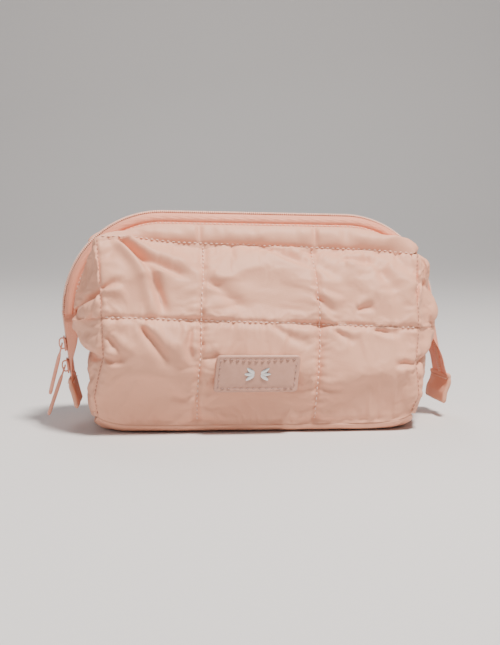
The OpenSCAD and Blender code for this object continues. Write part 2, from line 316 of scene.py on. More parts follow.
@dataclass
class Settle:
    """How a sewn panel puffs out over its wadding when its cloth is simulated."""

    growth: float = 0.02
    pressure: float = 1.5
    frames: int = 20
    bending: float = 0.8
    reach: float = 7 * MM

    def run(self, name: str, grid: Array, pinned: Array) -> Array:
        """Simulates one panel.

        Args:
            name: the scratch object's name.
            grid: the sewn shape's points.
            pinned: from 0 to 1, how far each point is held by its seams.

        Returns:
            The settled points, in the same grid.
        """
        piece = make_mesh(name, grid, grid_faces(*grid.shape[:2]), bpy.data.materials.new(name))
        group = piece.vertex_groups.new(name="pin")
        flat = pinned.reshape(-1)
        for level in np.unique(np.round(flat, 2)):
            if level > 0:
                group.add(np.flatnonzero(np.round(flat, 2) == level).tolist(), float(level), "REPLACE")
        cloth = piece.modifiers.new("cloth", "CLOTH")
        s = cloth.settings
        s.quality = 5
        s.mass = 0.15
        s.air_damping = 3
        s.tension_stiffness = s.compression_stiffness = 25
        s.shear_stiffness = 8
        s.bending_stiffness = self.bending
        s.tension_damping = s.compression_damping = s.shear_damping = 10
        s.shrink_min = -self.growth
        s.use_pressure = True
        s.uniform_pressure_force = self.pressure
        s.vertex_group_mass = "pin"
        s.pin_stiffness = 20
        s.effector_weights.gravity = 0
        cloth.collision_settings.use_collision = False
        cloth.collision_settings.use_self_collision = False
        cloth.point_cache.frame_start = 1
        cloth.point_cache.frame_end = self.frames + 1
        for frame in range(1, self.frames + 1):
            bpy.context.scene.frame_set(frame)
        graph = bpy.context.evaluated_depsgraph_get()
        settled = piece.evaluated_get(graph).to_mesh()
        flat_points = np.zeros(len(settled.vertices) * 3)
        settled.vertices.foreach_get("co", flat_points)
        bpy.context.scene.frame_set(1)
        bpy.data.objects.remove(piece)
        moved = flat_points.reshape(grid.shape) - grid
        length = np.linalg.norm(moved, axis=-1, keepdims=True)
        log.info("%s settled by at most %.1f mm", name, 1000 * length.max())
        return grid + moved * (np.tanh(length / self.reach) * self.reach / np.maximum(length, 1e-9))


class Nodes:
    """The nodes of one new material."""

    def __init__(self, name: str) -> None:
        """Starts a material with its plain shader."""
        self.material = bpy.data.materials.new(name)
        self.material.use_nodes = True
        self.tree = self.material.node_tree
        self.shader = self.tree.nodes["Principled BSDF"]
        self.place = self.tree.nodes.new("ShaderNodeTexCoord").outputs["Object"]

    def set(self, node: bpy.types.Node, **values: object) -> None:
        """Sets a node's inputs. Their names have _ for a space."""
        for name, value in values.items():
            node.inputs[name.replace("_", " ")].default_value = value

    def add(self, kind: str, **values: object) -> bpy.types.Node:
        """Adds a node and sets its inputs."""
        node = self.tree.nodes.new(f"ShaderNode{kind}")
        self.set(node, **values)
        return node

    def pattern(self, kind: str, **values: object) -> bpy.types.Node:
        """Adds a pattern that is fixed to the piece."""
        node = self.add(kind, **values)
        self.tree.links.new(self.place, node.inputs["Vector"])
        return node

    def tint(self, cloud: bpy.types.Node, margin: float, *tones: tuple[float, float, float]) -> None:
        """Mottles the base colour.

        Args:
            cloud: the pattern that it follows.
            margin: how far from the pattern's ends the two colours lie.
            tones: the darker colour and the lighter one.
        """
        ramp = self.add("ValToRGB")
        for element, position, tone in zip(ramp.color_ramp.elements, (margin, 1 - margin), tones):
            element.position = position
            element.color = (*tone, 1)
        self.tree.links.new(cloud.outputs["Fac"], ramp.inputs["Fac"])
        self.tree.links.new(ramp.outputs["Color"], self.shader.inputs["Base Color"])

    def sum(self, operation: str, *sockets: bpy.types.NodeSocket) -> bpy.types.NodeSocket:
        """Joins two values by a sum or a product."""
        node = self.add("Math")
        node.operation = operation
        for k, socket in enumerate(sockets):
            self.tree.links.new(socket, node.inputs[k])
        return node.outputs[0]

    def bump(self, height: bpy.types.NodeSocket, strength: float, distance: float,
             under: Optional[bpy.types.NodeSocket] = None) -> bpy.types.NodeSocket:
        """Adds a bump.

        Args:
            height: the heights that it follows.
            strength: how strong it is.
            distance: how deep it is.
            under: the bump that it lies over, if any.

        Returns:
            The bent normal.
        """
        node = self.add("Bump", Strength=strength, Distance=distance)
        self.tree.links.new(height, node.inputs["Height"])
        if under:
            self.tree.links.new(under, node.inputs["Normal"])
        return node.outputs["Normal"]


@dataclass(frozen=True)
class Fabric:
    """A soft woven fabric: its colour, how satin it is and how coarse its weave."""

    name: str
    colour: tuple[float, float, float]
    shade: tuple[float, float, float]
    weave: float = 0.45 * MM
    rough: float = 0.55
    sheen: float = 0.08
    relief: float = 0.12
    crinkle: float = 0.25

    def build(self) -> bpy.types.Material:
        """Builds the material's nodes.

        Returns:
            The finished material.
        """
        nodes = Nodes(self.name)
        nodes.set(nodes.shader, Roughness=self.rough, Sheen_Weight=self.sheen, Sheen_Roughness=0.4,
                  Sheen_Tint=(1.0, 0.82, 0.74, 1), Specular_IOR_Level=0.35)
        nodes.tint(nodes.pattern("TexNoise", Scale=45, Detail=5), 0.35, self.shade, self.colour)
        threads = []
        for direction in ("X", "Z", "Y"):
            wave = nodes.pattern("TexWave", Scale=0.314 / self.weave, Distortion=0.6)
            wave.bands_direction = direction
            threads.append(wave.outputs["Fac"])
        cloth = nodes.sum("ADD", nodes.sum("MULTIPLY", threads[0], threads[1]), threads[2])
        fine = nodes.bump(cloth, self.relief, self.weave * 0.4)
        crumple = nodes.pattern("TexNoise", Scale=160, Detail=6, Distortion=0.6)
        coarse = nodes.bump(crumple.outputs["Fac"], self.crinkle, 0.5 * MM, fine)
        nodes.tree.links.new(coarse, nodes.shader.inputs["Normal"])
        return nodes.material


@dataclass(frozen=True)
class Hard:
    """A hard finish: paint, nylon, foil or leatherette, with fine wear in its roughness and surface."""

    name: str
    colour: tuple[float, float, float]
    shade: tuple[float, float, float]
    rough: float = 0.35
    metallic: float = 0.0
    coat: float = 0.0
    grain: float = 900.0
    relief: float = 0.08
    cells: bool = False

    def build(self) -> bpy.types.Material:
        """Builds the material's nodes."""
        nodes = Nodes(self.name)
        nodes.set(nodes.shader, Metallic=self.metallic, Coat_Weight=self.coat)
        cloud = nodes.pattern("TexNoise", Scale=260, Detail=4)
        nodes.tint(cloud, 0.3, self.shade, self.colour)
        wear = nodes.add("MapRange", To_Min=self.rough - 0.06, To_Max=self.rough + 0.1)
        nodes.tree.links.new(cloud.outputs["Fac"], wear.inputs["Value"])
        nodes.tree.links.new(wear.outputs["Result"], nodes.shader.inputs["Roughness"])
        grain = nodes.pattern("TexVoronoi" if self.cells else "TexNoise", Scale=self.grain)
        bumped = nodes.bump(grain.outputs[0], self.relief, 0.2 * MM)
        nodes.tree.links.new(bumped, nodes.shader.inputs["Normal"])
        return nodes.material


class Finishes:
    """Every finish on the bag, built once."""

    def __init__(self) -> None:
        """Builds the materials."""
        self.shell = Fabric("blush_nylon", (0.83, 0.418, 0.282), (0.79, 0.388, 0.26)).build()
        self.lining = Fabric("blush_lining", (0.74, 0.38, 0.28), (0.70, 0.35, 0.25), sheen=0.05,
                             crinkle=0.4).build()
        self.tape = Fabric("zip_tape_weave", (0.92, 0.37, 0.235), (0.87, 0.33, 0.205), weave=0.9 * MM, relief=0.5,
                           crinkle=0.05, rough=0.5).build()
        self.coil = Hard("zip_coil_nylon", (0.97, 0.62, 0.48), (0.93, 0.54, 0.40), rough=0.32).build()
        self.metal = Hard("slider_paint", (0.86, 0.38, 0.26), (0.80, 0.33, 0.22), rough=0.3, coat=0.4).build()
        self.thread = Hard("pink_thread", (0.93, 0.66, 0.54), (0.90, 0.60, 0.48), rough=0.6).build()
        # The side seam's thread is real, but its dark colour is painted shade for the groove where the wall meets
        # the gusset.
        self.seam_thread = Hard("seam_thread", (0.60, 0.30, 0.22), (0.54, 0.26, 0.19), rough=0.6).build()
        self.badge = Hard("badge_leatherette", (0.62, 0.335, 0.25), (0.57, 0.30, 0.22), rough=0.42, grain=1600,
                          relief=0.25, cells=True).build()
        self.badge_thread = Hard("badge_thread", (0.42, 0.25, 0.20), (0.36, 0.21, 0.17), rough=0.6).build()
        self.foil = Hard("silver_foil", (0.78, 0.77, 0.76), (0.66, 0.65, 0.64), rough=0.22,
                         metallic=1.0).build()
        self.steel = Hard("spring_steel", (0.55, 0.55, 0.55), (0.42, 0.42, 0.43), rough=0.3,
                          metallic=1.0).build()
        self.floor = Hard("studio_paper", (0.71, 0.685, 0.675), (0.70, 0.675, 0.665), rough=0.8,
                          relief=0.02).build()


def stitch_row(name: str, path: Array, outward: Array, finish: bpy.types.Material, pitch: float = 3.0 * MM,
               fill: float = 0.62, radius: float = 0.4 * MM, lift: float = 0.3 * MM) -> bpy.types.Object:
    """Sews a row of thread stitches along a path.

    Args:
        name: the row's name.
        path: the seam's points.
        outward: the fabric's normal at each point.
        finish: the thread's material.
        pitch: the distance from stitch to stitch.
        fill: the share of the pitch that shows as thread.
        radius: the thread's radius.
        lift: how far the thread stands off the fabric.

    Returns:
        One mesh that holds every stitch.
    """
    steps = np.r_[0, np.cumsum(np.linalg.norm(np.diff(path, axis=0), axis=1))]
    count = max(1, int(steps[-1] / pitch))
    points, faces = [], []
    sides, rings = 6, 7
    for k in range(count):
        start = (k + 0.5 - fill / 2) * steps[-1] / count
        end = (k + 0.5 + fill / 2) * steps[-1] / count
        ts = np.linspace(start, end, rings)
        centre = np.stack([np.interp(ts, steps, path[:, a]) for a in range(3)], axis=-1)
        out = np.stack([np.interp(ts, steps, outward[:, a]) for a in range(3)], axis=-1)
        out /= np.linalg.norm(out, axis=1, keepdims=True)
        along = np.gradient(centre, axis=0)
        along /= np.linalg.norm(along, axis=1, keepdims=True)
        side = np.cross(along, out)
        arc = np.sin(np.linspace(0, math.pi, rings))
        base = len(points)
        for r in range(rings):
            width = radius * (0.35 + 0.65 * arc[r])
            middle = centre[r] + out[r] * (lift + radius * (arc[r] * 1.1 - 0.6))
            for q in range(sides):
                a = 2 * math.pi * q / sides
                points.append(middle + width * (math.cos(a) * side[r] + math.sin(a) * out[r]))
        for r in range(rings - 1):
            for q in range(sides):
                a, b = base + r * sides + q, base + r * sides + (q + 1) % sides
                faces.append((a, b, b + sides, a + sides))
        faces.append(tuple(base + q for q in reversed(range(sides))))
        faces.append(tuple(base + (rings - 1) * sides + q for q in range(sides)))
    return make_mesh(name, np.array(points), faces, finish)


@dataclass
class Walls:
    """The shapes of the sewn walls in the upright bag, shared by the panels, linings and channels."""

    quilt_x: float = 36.5 * MM
    fold_slope: float = 2.7 * MM
    top_z: float = 113.0 * MM
    top_slope: float = 0.022
    top_y: float = 15.5 * MM
    corner_y: float = 6.0 * MM
    tape_r: float = 53.8 * MM
    tape_y: float = 9.0 * MM

    def front(self, u: Array, v: Array) -> Array:
        """The front wall before it puffs.

        Args:
            u: from -1 at the left seam to 1 at the right seam.
            v: from 0 at the base seam through 1 at the fold to 2 at the channel.

        Returns:
            The points of the wall.
        """
        low, high = np.clip(v, 0, 1), np.clip(v - 1, 0, 1)
        fold = FOLD - self.fold_slope * u
        foot = SEAM_Z + 5.5 * MM * np.abs(u) ** 12
        z_low = foot + (fold - foot) * low
        y_low = HALF_DEPTH + 2.5 * MM * np.sin(math.pi * low) - 3.0 * MM * (1 - low) ** 6
        bow = 1 - np.abs(u) ** 4
        y_low = y_low + 3.0 * MM * bow * np.sin(math.pi * np.clip(0.12 + 0.88 * low, 0, 1))
        x_low = HALF_WIDTH * (1 - 0.015 * (1 - low) ** 3)
        top = self.top(u)
        z_high = fold + (top[..., 2] - fold) * high
        y_high = HALF_DEPTH + (-top[..., 1] - HALF_DEPTH) * high ** 1.25
        y_high = y_high + 4 * MM * bow * np.sin(math.pi * high)
        middle = np.abs(u) < 1e-6
        x_top = np.abs(top[..., 0] / np.where(middle, 1e-6, np.abs(u)))
        x_high = np.where(middle, HALF_WIDTH, HALF_WIDTH + (x_top - HALF_WIDTH) * high)
        upper = v > 1
        wander = np.where(u < 0, np.interp(v, SEAM_LEVELS, LEFT_SEAM), np.interp(v, SEAM_LEVELS, RIGHT_SEAM))
        shift = wander * np.abs(u) ** 3 * MM
        shift = shift - 1.5 * MM * np.sin(math.pi * v / 2) * (1 - u * u)
        narrow = 2.6 * MM * smooth(high) * np.exp(-((np.abs(u) - 0.376) / 0.25) ** 2)
        shift = shift - np.sign(u) * narrow
        return np.stack([
            u * np.where(upper, x_high, x_low) + shift,
            -np.where(upper, y_high, y_low),
            np.where(upper, z_high, z_low),
        ], axis=-1)

    def top(self, u: Array) -> Array:
        """The stitch line between the front wall and its channel."""
        x = u * CORNER_X
        y = -(self.top_y + self.corner_y * np.abs(u) ** 3)
        lift = 3.2 * MM * smooth((-u - 0.5) / 0.4) - 1.5 * MM * np.abs(u) ** 6
        return np.stack([x, y, self.top_z - self.top_slope * x + lift], axis=-1)

    def arch_way(self, count: int) -> tuple[Array, Array]:
        """Angles and straight shifts that go over the arch at an even pace.

        Args:
            count: how many stations there are.

        Returns:
            The angle at each station and its shift along the straight top run, from -1 to 1.
        """
        arc = ARCH_R * math.radians(93)
        run = 2 * SHOULDER_X
        s = np.linspace(0, 2 * arc + run, count)
        right = np.where(s > arc + run, 90 + 93 * (s - arc - run) / arc, 90.0)
        angle = np.where(s < arc, -3 + 93 * s / arc, right)
        shift = np.clip((s - arc) / run, 0, 1) * 2 - 1
        return angle, shift

    def arch_point(self, angle: Array, shift: Array, r: Array, y: Array) -> Array:
        """Finds points on the arch.

        Args:
            angle: the angle over the arch, from 0 at the left leg to 180 at the right.
            shift: the shift along the straight top run, from -1 to 1.
            r: the distance from the shoulder's centre.
            y: the depth.

        Returns:
            The points.
        """
        a = np.radians(angle)
        x = shift * SHOULDER_X - r * np.cos(a)
        return np.stack([x, np.broadcast_to(y, x.shape), ARCH_Z + r * np.sin(a)], axis=-1)

    def channel_foot(self, angle: Array, shift: Array) -> Array:
        """Finds the channel's inner stitch line on the front half.

        Args:
            angle: the angle over the arch at each station.
            shift: the shift along the straight top run at each station.

        Returns:
            The line's points.
        """
        corner = 44.0
        low = np.clip(np.where(angle <= 90, angle, 180 - angle), -3, corner)
        share = (low + 3) / (corner + 3)
        sign = np.where(angle <= 90, -1.0, 1.0)
        sign = np.where((angle > 89.9) & (angle < 90.1), np.sign(shift + 1e-9), sign)
        r = (52.5 + 4.3 * share) * MM
        a = np.radians(low)
        y = 14.0 * MM + (self.top_y + self.corner_y - 14.0 * MM) * share ** 1.5
        leg = np.stack([sign * (SHOULDER_X + r * np.cos(a)), -y, ARCH_Z + r * np.sin(a)], axis=-1)
        steep = np.where(angle <= 90, angle, 180 - angle)
        over = np.clip((steep - corner) / (90 - corner), 0, 1)
        x_over = np.where(
            (angle > 89.9) & (angle < 90.1), shift * SHOULDER_X,
            sign * (CORNER_X + (SHOULDER_X - CORNER_X) * np.sin(over * math.pi / 2)),
        )
        u = x_over / CORNER_X
        top = self.top(u)
        top[..., 0] += np.where(u < 0, LEFT_SEAM[-1], RIGHT_SEAM[-1]) * np.abs(u) ** 3 * MM
        mix = smooth((steep - corner + 5) / 10)[..., None]
        return leg * (1 - mix) + top * mix


@dataclass(frozen=True)
class Crease:
    """A fold or a dent in a panel.

    Its path runs in shares of the panel: across from -1 to 1, and up from 0 at the base seam through 1 at the
    fold to 2 at the channel. The ridge stands on its left (1) or its right (-1), looking along the path.
    """

    path: tuple[tuple[float, float], ...]
    depth: float
    width: float
    ridge: int = 1


@dataclass(frozen=True)
class GussetLook:
    """How one end's gusset stands out and creases. Heights run from 0 through 1 at the fold to 2 at the top."""

    middle: tuple[tuple[float, float], ...]
    puff: tuple[tuple[float, float], ...]
    wing_puff: float
    pinch: float
    pinch_slant: float
    crease: float
    crease_slant: float
    crease_deep: float = 7.0
    pinch_deep: float = 5.0
    lip: float = 4.6


# How far a crease runs up the panel below the fold and above it, in mm.
LOW_RISE = 68.0
HIGH_RISE = 48.0
PANEL_CREASES = (
    Crease(((-0.85, 1.96), (-0.72, 1.74), (-0.57, 1.63), (-0.39, 1.54)), 3.6, 2.2),
    Crease(((-0.87, 1.97), (-0.76, 1.76), (-0.68, 1.57), (-0.62, 1.22), (-0.60, 1.05)), 3.2, 2.2, -1),
    Crease(((-0.34, 1.54), (-0.22, 1.38), (-0.07, 1.14)), 1.8, 3.0),
    Crease(((-0.76, 0.93), (-0.68, 0.80), (-0.55, 0.58)), 2.4, 2.4),
    Crease(((-0.97, 0.82), (-0.91, 0.72), (-0.85, 0.60)), 1.8, 2.2),
    Crease(((-0.44, 0.92), (-0.46, 0.76), (-0.415, 0.58)), 1.8, 1.9, -1),
    Crease(((-0.36, 0.66), (-0.30, 0.66), (-0.24, 0.69)), 1.2, 1.8),
    Crease(((-0.99, 1.36), (-0.93, 1.42), (-0.84, 1.44)), 2.0, 1.8, -1),
    Crease(((-0.99, 0.62), (-0.93, 0.60), (-0.84, 0.62)), 1.8, 1.8),
    Crease(((0.04, 1.97), (0.18, 1.89), (0.34, 1.80)), 2.2, 2.2),
    Crease(((0.36, 1.38), (0.41, 1.28), (0.48, 1.15)), 2.2, 2.0),
    Crease(((0.62, 1.22), (0.67, 1.26), (0.73, 1.27)), 1.8, 1.8),
    Crease(((0.56, 1.85), (0.65, 1.83), (0.76, 1.88)), 2.0, 2.0, -1),
    Crease(((0.76, 1.74), (0.83, 1.55), (0.90, 1.33)), 1.8, 4.0),
    Crease(((0.40, 1.80), (0.50, 1.62), (0.62, 1.50)), 1.2, 3.4),
    Crease(((0.72, 0.96), (0.80, 0.94), (0.89, 0.92)), 1.8, 1.8),
    Crease(((0.46, 0.95), (0.53, 0.89), (0.60, 0.82)), 1.6, 2.0),
    Crease(((0.08, 0.97), (0.20, 0.86), (0.34, 0.80)), 1.4, 2.4),
    Crease(((0.99, 0.58), (0.92, 0.62), (0.84, 0.60)), 1.8, 1.9),
    Crease(((0.40, 0.40), (0.46, 0.36), (0.55, 0.36)), 1.0, 2.2),
    Crease(((-0.40, 0.30), (-0.47, 0.27), (-0.56, 0.30)), 1.0, 2.2),
)
LEFT_LOOK = GussetLook(
    middle=((0, 99.5), (0.12, 102), (0.28, 103), (0.48, 102.5), (0.62, 100.5), (0.75, 105), (0.9, 109),
            (1.0, 109), (1.06, 107)),
    puff=((0, 2), (0.5, 3.4), (2, 3.4)),
    wing_puff=4.0, pinch=0.60, pinch_slant=0.06, crease=1.35, crease_slant=0.31,
)
RIGHT_LOOK = GussetLook(
    middle=((0, 99.5), (0.12, 102), (0.3, 104), (0.5, 105), (0.65, 107), (0.8, 110), (1.0, 112), (1.06, 112)),
    puff=((0, 3), (0.2, 8.5), (0.45, 10.5), (0.7, 8.5), (0.9, 7.5), (1.1, 7.5)),
    wing_puff=9.0, pinch=0.57, pinch_slant=0.24, crease=1.62, crease_slant=0.34,
    crease_deep=2.6, pinch_deep=3.4, lip=0.8,
)
LOOKS = {End.LEFT: LEFT_LOOK, End.RIGHT: RIGHT_LOOK}

# The base pad's section, as the distance in from its edge and the height in mm, from below to the inside.
BASE_PROFILE = ((40, 0.25), (25, 0.2), (12, 0.2), (7, 0.4), (3.5, 1.3), (1.2, 2.8), (0.3, 4.2), (0.6, 5.2),
                (1.6, 6.2), (2.4, 8.2), (2.8, 10.4))

# The inside floor's section, as a share of its half width and the height in mm.
BASE_FLOOR = ((1.0, 6.4), (0.9, 6.0), (0.6, 6.2), (0.3, 6.1), (0.02, 6.2))


class SoftWalls:
    """The quilted outer walls, their linings and the base."""

    def __init__(self, finishes: Finishes, walls: Walls) -> None:
        """Keeps the finishes and shapes that every wall uses."""
        self.finishes = finishes
        self.walls = walls
        self.columns = 231
        self.low_rows = 70
        self.high_rows = 56

    def front_grid(self) -> tuple[Array, Array, Array]:
        """The front wall's sewn shape, and its u and v at every point."""
        u = np.linspace(-1, 1, self.columns)
        v = np.r_[np.linspace(0, 1, self.low_rows), np.linspace(1, 2, self.high_rows)[1:]]
        uu, vv = np.meshgrid(u, v)
        return self.walls.front(uu, vv), uu, vv

    def quilted_front(self) -> Array:
        """Puffs the front wall between its stitch lines, and folds it as the real one is folded.

        Returns:
            The wall's points in the upright bag.
        """
        grid, u, v = self.front_grid()
        line = self.walls.quilt_x / HALF_WIDTH
        step = 2 / (self.columns - 1)
        pinned = np.zeros(u.shape)
        for x in (-line, line):
            pinned = np.maximum(pinned, (np.abs(u - x) < step * 0.6).astype(float))
        pinned[self.low_rows - 1] = 1
        pinned[[0, -1]] = 1
        pinned[:, [0, -1]] = 1
        slack = grid + normals(grid) * (0.4 * MM * soft_noise(grid, 14 * MM, 3.0) * (1 - pinned))[..., None]
        settled = Settle().run("front_cloth", slack, pinned)
        lifted = 1.05 * self.creases(u, v, PANEL_CREASES) * (1 - pinned)
        lifted = lifted + self.puckers(u, v, line) - self.seam_sink(u, v, line)
        return settled + normals(grid) * lifted[..., None]

    def seam_distances(self, u: Array, v: Array, line: float) -> tuple[Array, Array, Array]:
        """Measures how far each point is from the stitch lines.

        Args:
            u: across the panel, from -1 to 1.
            v: up the panel, from 0 to 2.
            line: where the upright stitch lines are, as a share of the half width.

        Returns:
            The distances to the upright lines, to the fold or the ends, and to the side seams.
        """
        across = np.minimum(np.abs(u - line), np.abs(u + line)) * HALF_WIDTH
        up = np.minimum(np.abs(v - 1) * 60 * MM, np.minimum(v * 64 * MM, (2 - v) * 48 * MM) + 0.4 * MM)
        edge = (1 - np.abs(u)) * HALF_WIDTH
        return across, up, edge

    def seam_sink(self, u: Array, v: Array, line: float) -> Array:
        """Finds how deep the stitches pull the fabric in.

        Args:
            u: across the panel, from -1 to 1.
            v: up the panel, from 0 to 2.
            line: where the upright stitch lines are, as a share of the half width.

        Returns:
            The depth at each point.
        """
        across, up, edge = self.seam_distances(u, v, line)
        inner = smooth(v / 0.05) * smooth((2 - v) / 0.05)
        corner = np.exp(-(edge ** 2 + ((2 - v) * 48 * MM) ** 2) / (9 * MM) ** 2)
        lines = 1.9 * np.exp(-(across / (2.6 * MM)) ** 2) + 2.1 * np.exp(-(up / (2.6 * MM)) ** 2)
        return inner * (1 - corner) * (lines + 2.2 * np.exp(-edge / (2.0 * MM))) * MM

    def puckers(self, u: Array, v: Array, line: float) -> Array:
        """Finds the small gathers that run away from every stitch line.

        Args:
            u: across the panel, from -1 to 1.
            v: up the panel, from 0 to 2.
            line: where the upright stitch lines are, as a share of the half width.

        Returns:
            Their height over the fabric at each point.
        """
        across, up, edge = self.seam_distances(u, v, line)
        x, z = u * HALF_WIDTH, np.where(v > 1, LOW_RISE + (v - 1) * HIGH_RISE, v * LOW_RISE) * MM
        height = np.zeros(u.shape)
        for distance, along, seed, size, deep in ((across, z, 40.0, 3.6, 1.9), (up, x, 50.0, 3.8, 1.35),
                                                  (edge, z, 60.0, 3.6, 1.35)):
            spot = np.stack([along, distance * 0.28, np.sign(x) * 30 * MM + 0 * along], axis=-1)
            wave = soft_noise(spot, size * MM, seed)
            height += deep * MM * wave * np.exp(-distance / (5.5 * MM)) * smooth(distance / (1.3 * MM))
        return height * smooth(v / 0.04) * smooth((2 - v) / 0.04)

    def creases(self, u: Array, v: Array, lines: Sequence[Crease]) -> Array:
        """Finds the height that long folds and dents add over the fabric.

        Args:
            u: across the panel, from -1 to 1.
            v: up the panel, from 0 to 2.
            lines: the folds and dents.

        Returns:
            The height at each point.
        """
        wide = HALF_WIDTH / MM
        x, z = u * wide, np.where(v > 1, LOW_RISE + (v - 1) * HIGH_RISE, v * LOW_RISE)
        height = np.zeros(u.shape)
        for line in lines:
            knots = np.array([(a * wide, LOW_RISE + (b - 1) * HIGH_RISE if b > 1 else b * LOW_RISE)
                              for a, b in line.path])
            t = np.linspace(0, len(knots) - 1, 48)
            way = np.stack([np.interp(t, np.arange(len(knots)), knots[:, k]) for k in (0, 1)], axis=-1)
            for _ in range(6):
                way[1:-1] = (way[:-2] + 2 * way[1:-1] + way[2:]) / 4
            d = np.gradient(way, axis=0)
            d /= np.linalg.norm(d, axis=1, keepdims=True)
            dx, dz = x[..., None] - way[:, 0], z[..., None] - way[:, 1]
            near = np.argmin(dx ** 2 + dz ** 2, axis=-1)
            share = near / (len(way) - 1)
            pick = near[..., None]
            ox = np.take_along_axis(dx, pick, -1)[..., 0]
            oz = np.take_along_axis(dz, pick, -1)[..., 0]
            off = (ox * -d[near, 1] + oz * d[near, 0]) * line.ridge
            far = np.hypot(ox, oz)
            off = np.where(np.abs(off) < 0.7 * far, np.copysign(far, off), off)
            w = line.width * (0.7 + 0.9 * share)
            valley = -np.exp(-(off / w) ** 2)
            ridge = 0.85 * np.exp(-((off - 2.0 * w) / (1.5 * w)) ** 2)
            ridge = ridge + 0.3 * np.exp(-((off + 2.0 * w) / (1.5 * w)) ** 2)
            fade = smooth(share / 0.12 + 0.35) * smooth((1 - share) / 0.3 + 0.1)
            height += line.depth * MM * fade * (valley + ridge)
        return height

    def gusset_grid(self, seam: Array, look: GussetLook) -> tuple[Array, Array, Array]:
        """Draws one gusset's front half at the left, before it puffs.

        Args:
            seam: the side seam's points, from the base to the channel.
            look: how this end's gusset stands out.

        Returns:
            Its points, then s and t at each. s runs from its middle to the seam, and t up from 0 through 1 at
            the fold to 2.
        """
        rows, columns = 150, 56
        t = np.linspace(0, 2, rows)
        s = np.linspace(0, 1, columns)
        v = np.r_[np.linspace(0, 1, self.low_rows), np.linspace(1, 2, self.high_rows)[1:]]
        edge = np.stack([np.interp(t, v, seam[:, a]) for a in range(3)], axis=-1)
        rise = np.clip(t / 1.06, 0, 1)
        heights, reach = zip(*look.middle)
        middle_low = np.stack([
            -np.interp(t, heights, reach) * MM,
            np.zeros_like(t),
            SEAM_Z + (69.5 * MM - SEAM_Z) * rise,
        ], axis=-1)
        angle = -2 + 48 * np.clip((t - 1.06) / 0.94, 0, 1)
        foot = self.walls.arch_point(angle, np.full_like(angle, -1.0), self.walls.tape_r, -9.4 * MM)
        mix = smooth((t - 0.98) / 0.16)[:, None]
        middle = middle_low * (1 - mix) + foot * mix
        grid = middle[:, None, :] * (1 - s)[None, :, None] + edge[:, None, :] * s[None, :, None]
        ss, tt = np.meshgrid(s, t)
        bulge = (1 - (1 - ss) ** 2) * (1 - ss) * 2.6
        puff = np.interp(tt, *zip(*look.puff)) * bulge * (1 - smooth((tt - 1.0) / 0.25))
        wing = look.wing_puff * np.sin(math.pi * ss ** 0.8) ** 0.8
        wing = wing * smooth((tt - 0.95) / 0.25) * smooth((2 - tt) / 0.3 + 0.1)
        tilt = np.radians(np.clip(angle, 0, 60))[:, None] * np.ones_like(ss)
        out = np.stack([-np.cos(tilt), -0.35 * np.ones_like(ss), np.sin(tilt)], axis=-1)
        grid = grid + np.array([-1.0, -0.1, 0]) * (puff * MM)[..., None]
        return grid + out * (wing * MM)[..., None], ss, tt

    def puffed_gusset(self, name: str, seam: Array, look: GussetLook) -> Array:
        """Draws one gusset's front half at the left, with its puffs, its pinch and its crease by the zip.

        Args:
            name: the scratch object's name.
            seam: the side seam's points, from the base to the channel.
            look: how this end's gusset stands out and creases.

        Returns:
            Its points.
        """
        grid, s, t = self.gusset_grid(seam, look)
        pinned = np.zeros(s.shape)
        pinned[[0, -1]] = 1
        pinned[:, [0, -1]] = 1
        slack = grid + normals(grid) * (0.6 * MM * soft_noise(grid, 12 * MM, 8.0) * (1 - pinned))[..., None]
        settled = Settle(growth=0.03, pressure=1.8).run(name, slack, pinned)
        n = normals(grid)
        crease_at = look.crease - look.crease_slant * (1 - s) ** 1.1
        deep = look.crease_deep * np.exp(-((t - crease_at) / 0.05) ** 2) * (0.45 + 0.55 * s)
        lip = look.lip * np.exp(-((t - crease_at + 0.17) / 0.10) ** 2)
        lip = lip * np.sin(math.pi * np.clip(s, 0, 1)) ** 0.5
        pinch_at = look.pinch + look.pinch_slant * (1 - s)
        pinch = look.pinch_deep * np.exp(-((t - pinch_at) / 0.045) ** 2) * (0.35 + 0.65 * s)
        over = 2.6 * np.exp(-((t - pinch_at - 0.16) / 0.10) ** 2)
        free = np.sin(math.pi * np.clip(s * 0.985, 0, 1)) ** 0.35
        spot = np.stack([t * 60 * MM, (1 - s) * 12 * MM, 0 * t], axis=-1)
        gather = soft_noise(spot, 5 * MM, 70.0) * np.exp(-(1 - s) / 0.22)
        free_seam = smooth((1 - s) / 0.03)
        roll = 2.0 * (1 - np.exp(-(1 - s) / 0.05)) * s
        lifted = (lip + over - deep - pinch) * free + 1.4 * gather + roll
        return settled + n * (lifted * free_seam * MM)[..., None]

    def gusset_lining(self, seam: Array, look: GussetLook) -> Array:
        """Draws the smooth lining behind one gusset's front half, deep enough to clear the creases.

        Args:
            seam: the side seam's points, from the base to the channel.
            look: how this end's gusset stands out.

        Returns:
            Its points, three times as far apart.
        """
        grid, s, t = self.gusset_grid(seam, look)
        deep = 3.0 + 4.5 * smooth(t / 0.2) * smooth((2 - t) / 0.2) * smooth(s / 0.3)
        return (grid - normals(grid) * (deep * MM)[..., None])[::3, ::3]

    def place_wall(self, name: str, grid: Array, finish: bpy.types.Material,
                   replaced: Sequence[str], level: int = 0) -> bpy.types.Object:
        """Leans a wall into place and bakes its transform into its mesh.

        Args:
            name: the wall's name.
            grid: its points in the upright bag.
            finish: its material.
            replaced: the frame's nodes that it stands for.
            level: subdivision levels.

        Returns:
            The wall.
        """
        piece = grid_piece(name, lean(grid), finish, level=level)
        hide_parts(*replaced)
        self.bend(piece)
        log.info("%s has %d points", name, len(piece.data.vertices))
        return piece

    def bend(self, piece: bpy.types.Object) -> None:
        """Bakes a finished piece's transform into its mesh.

        Args:
            piece: the piece.
        """
        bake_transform(piece)

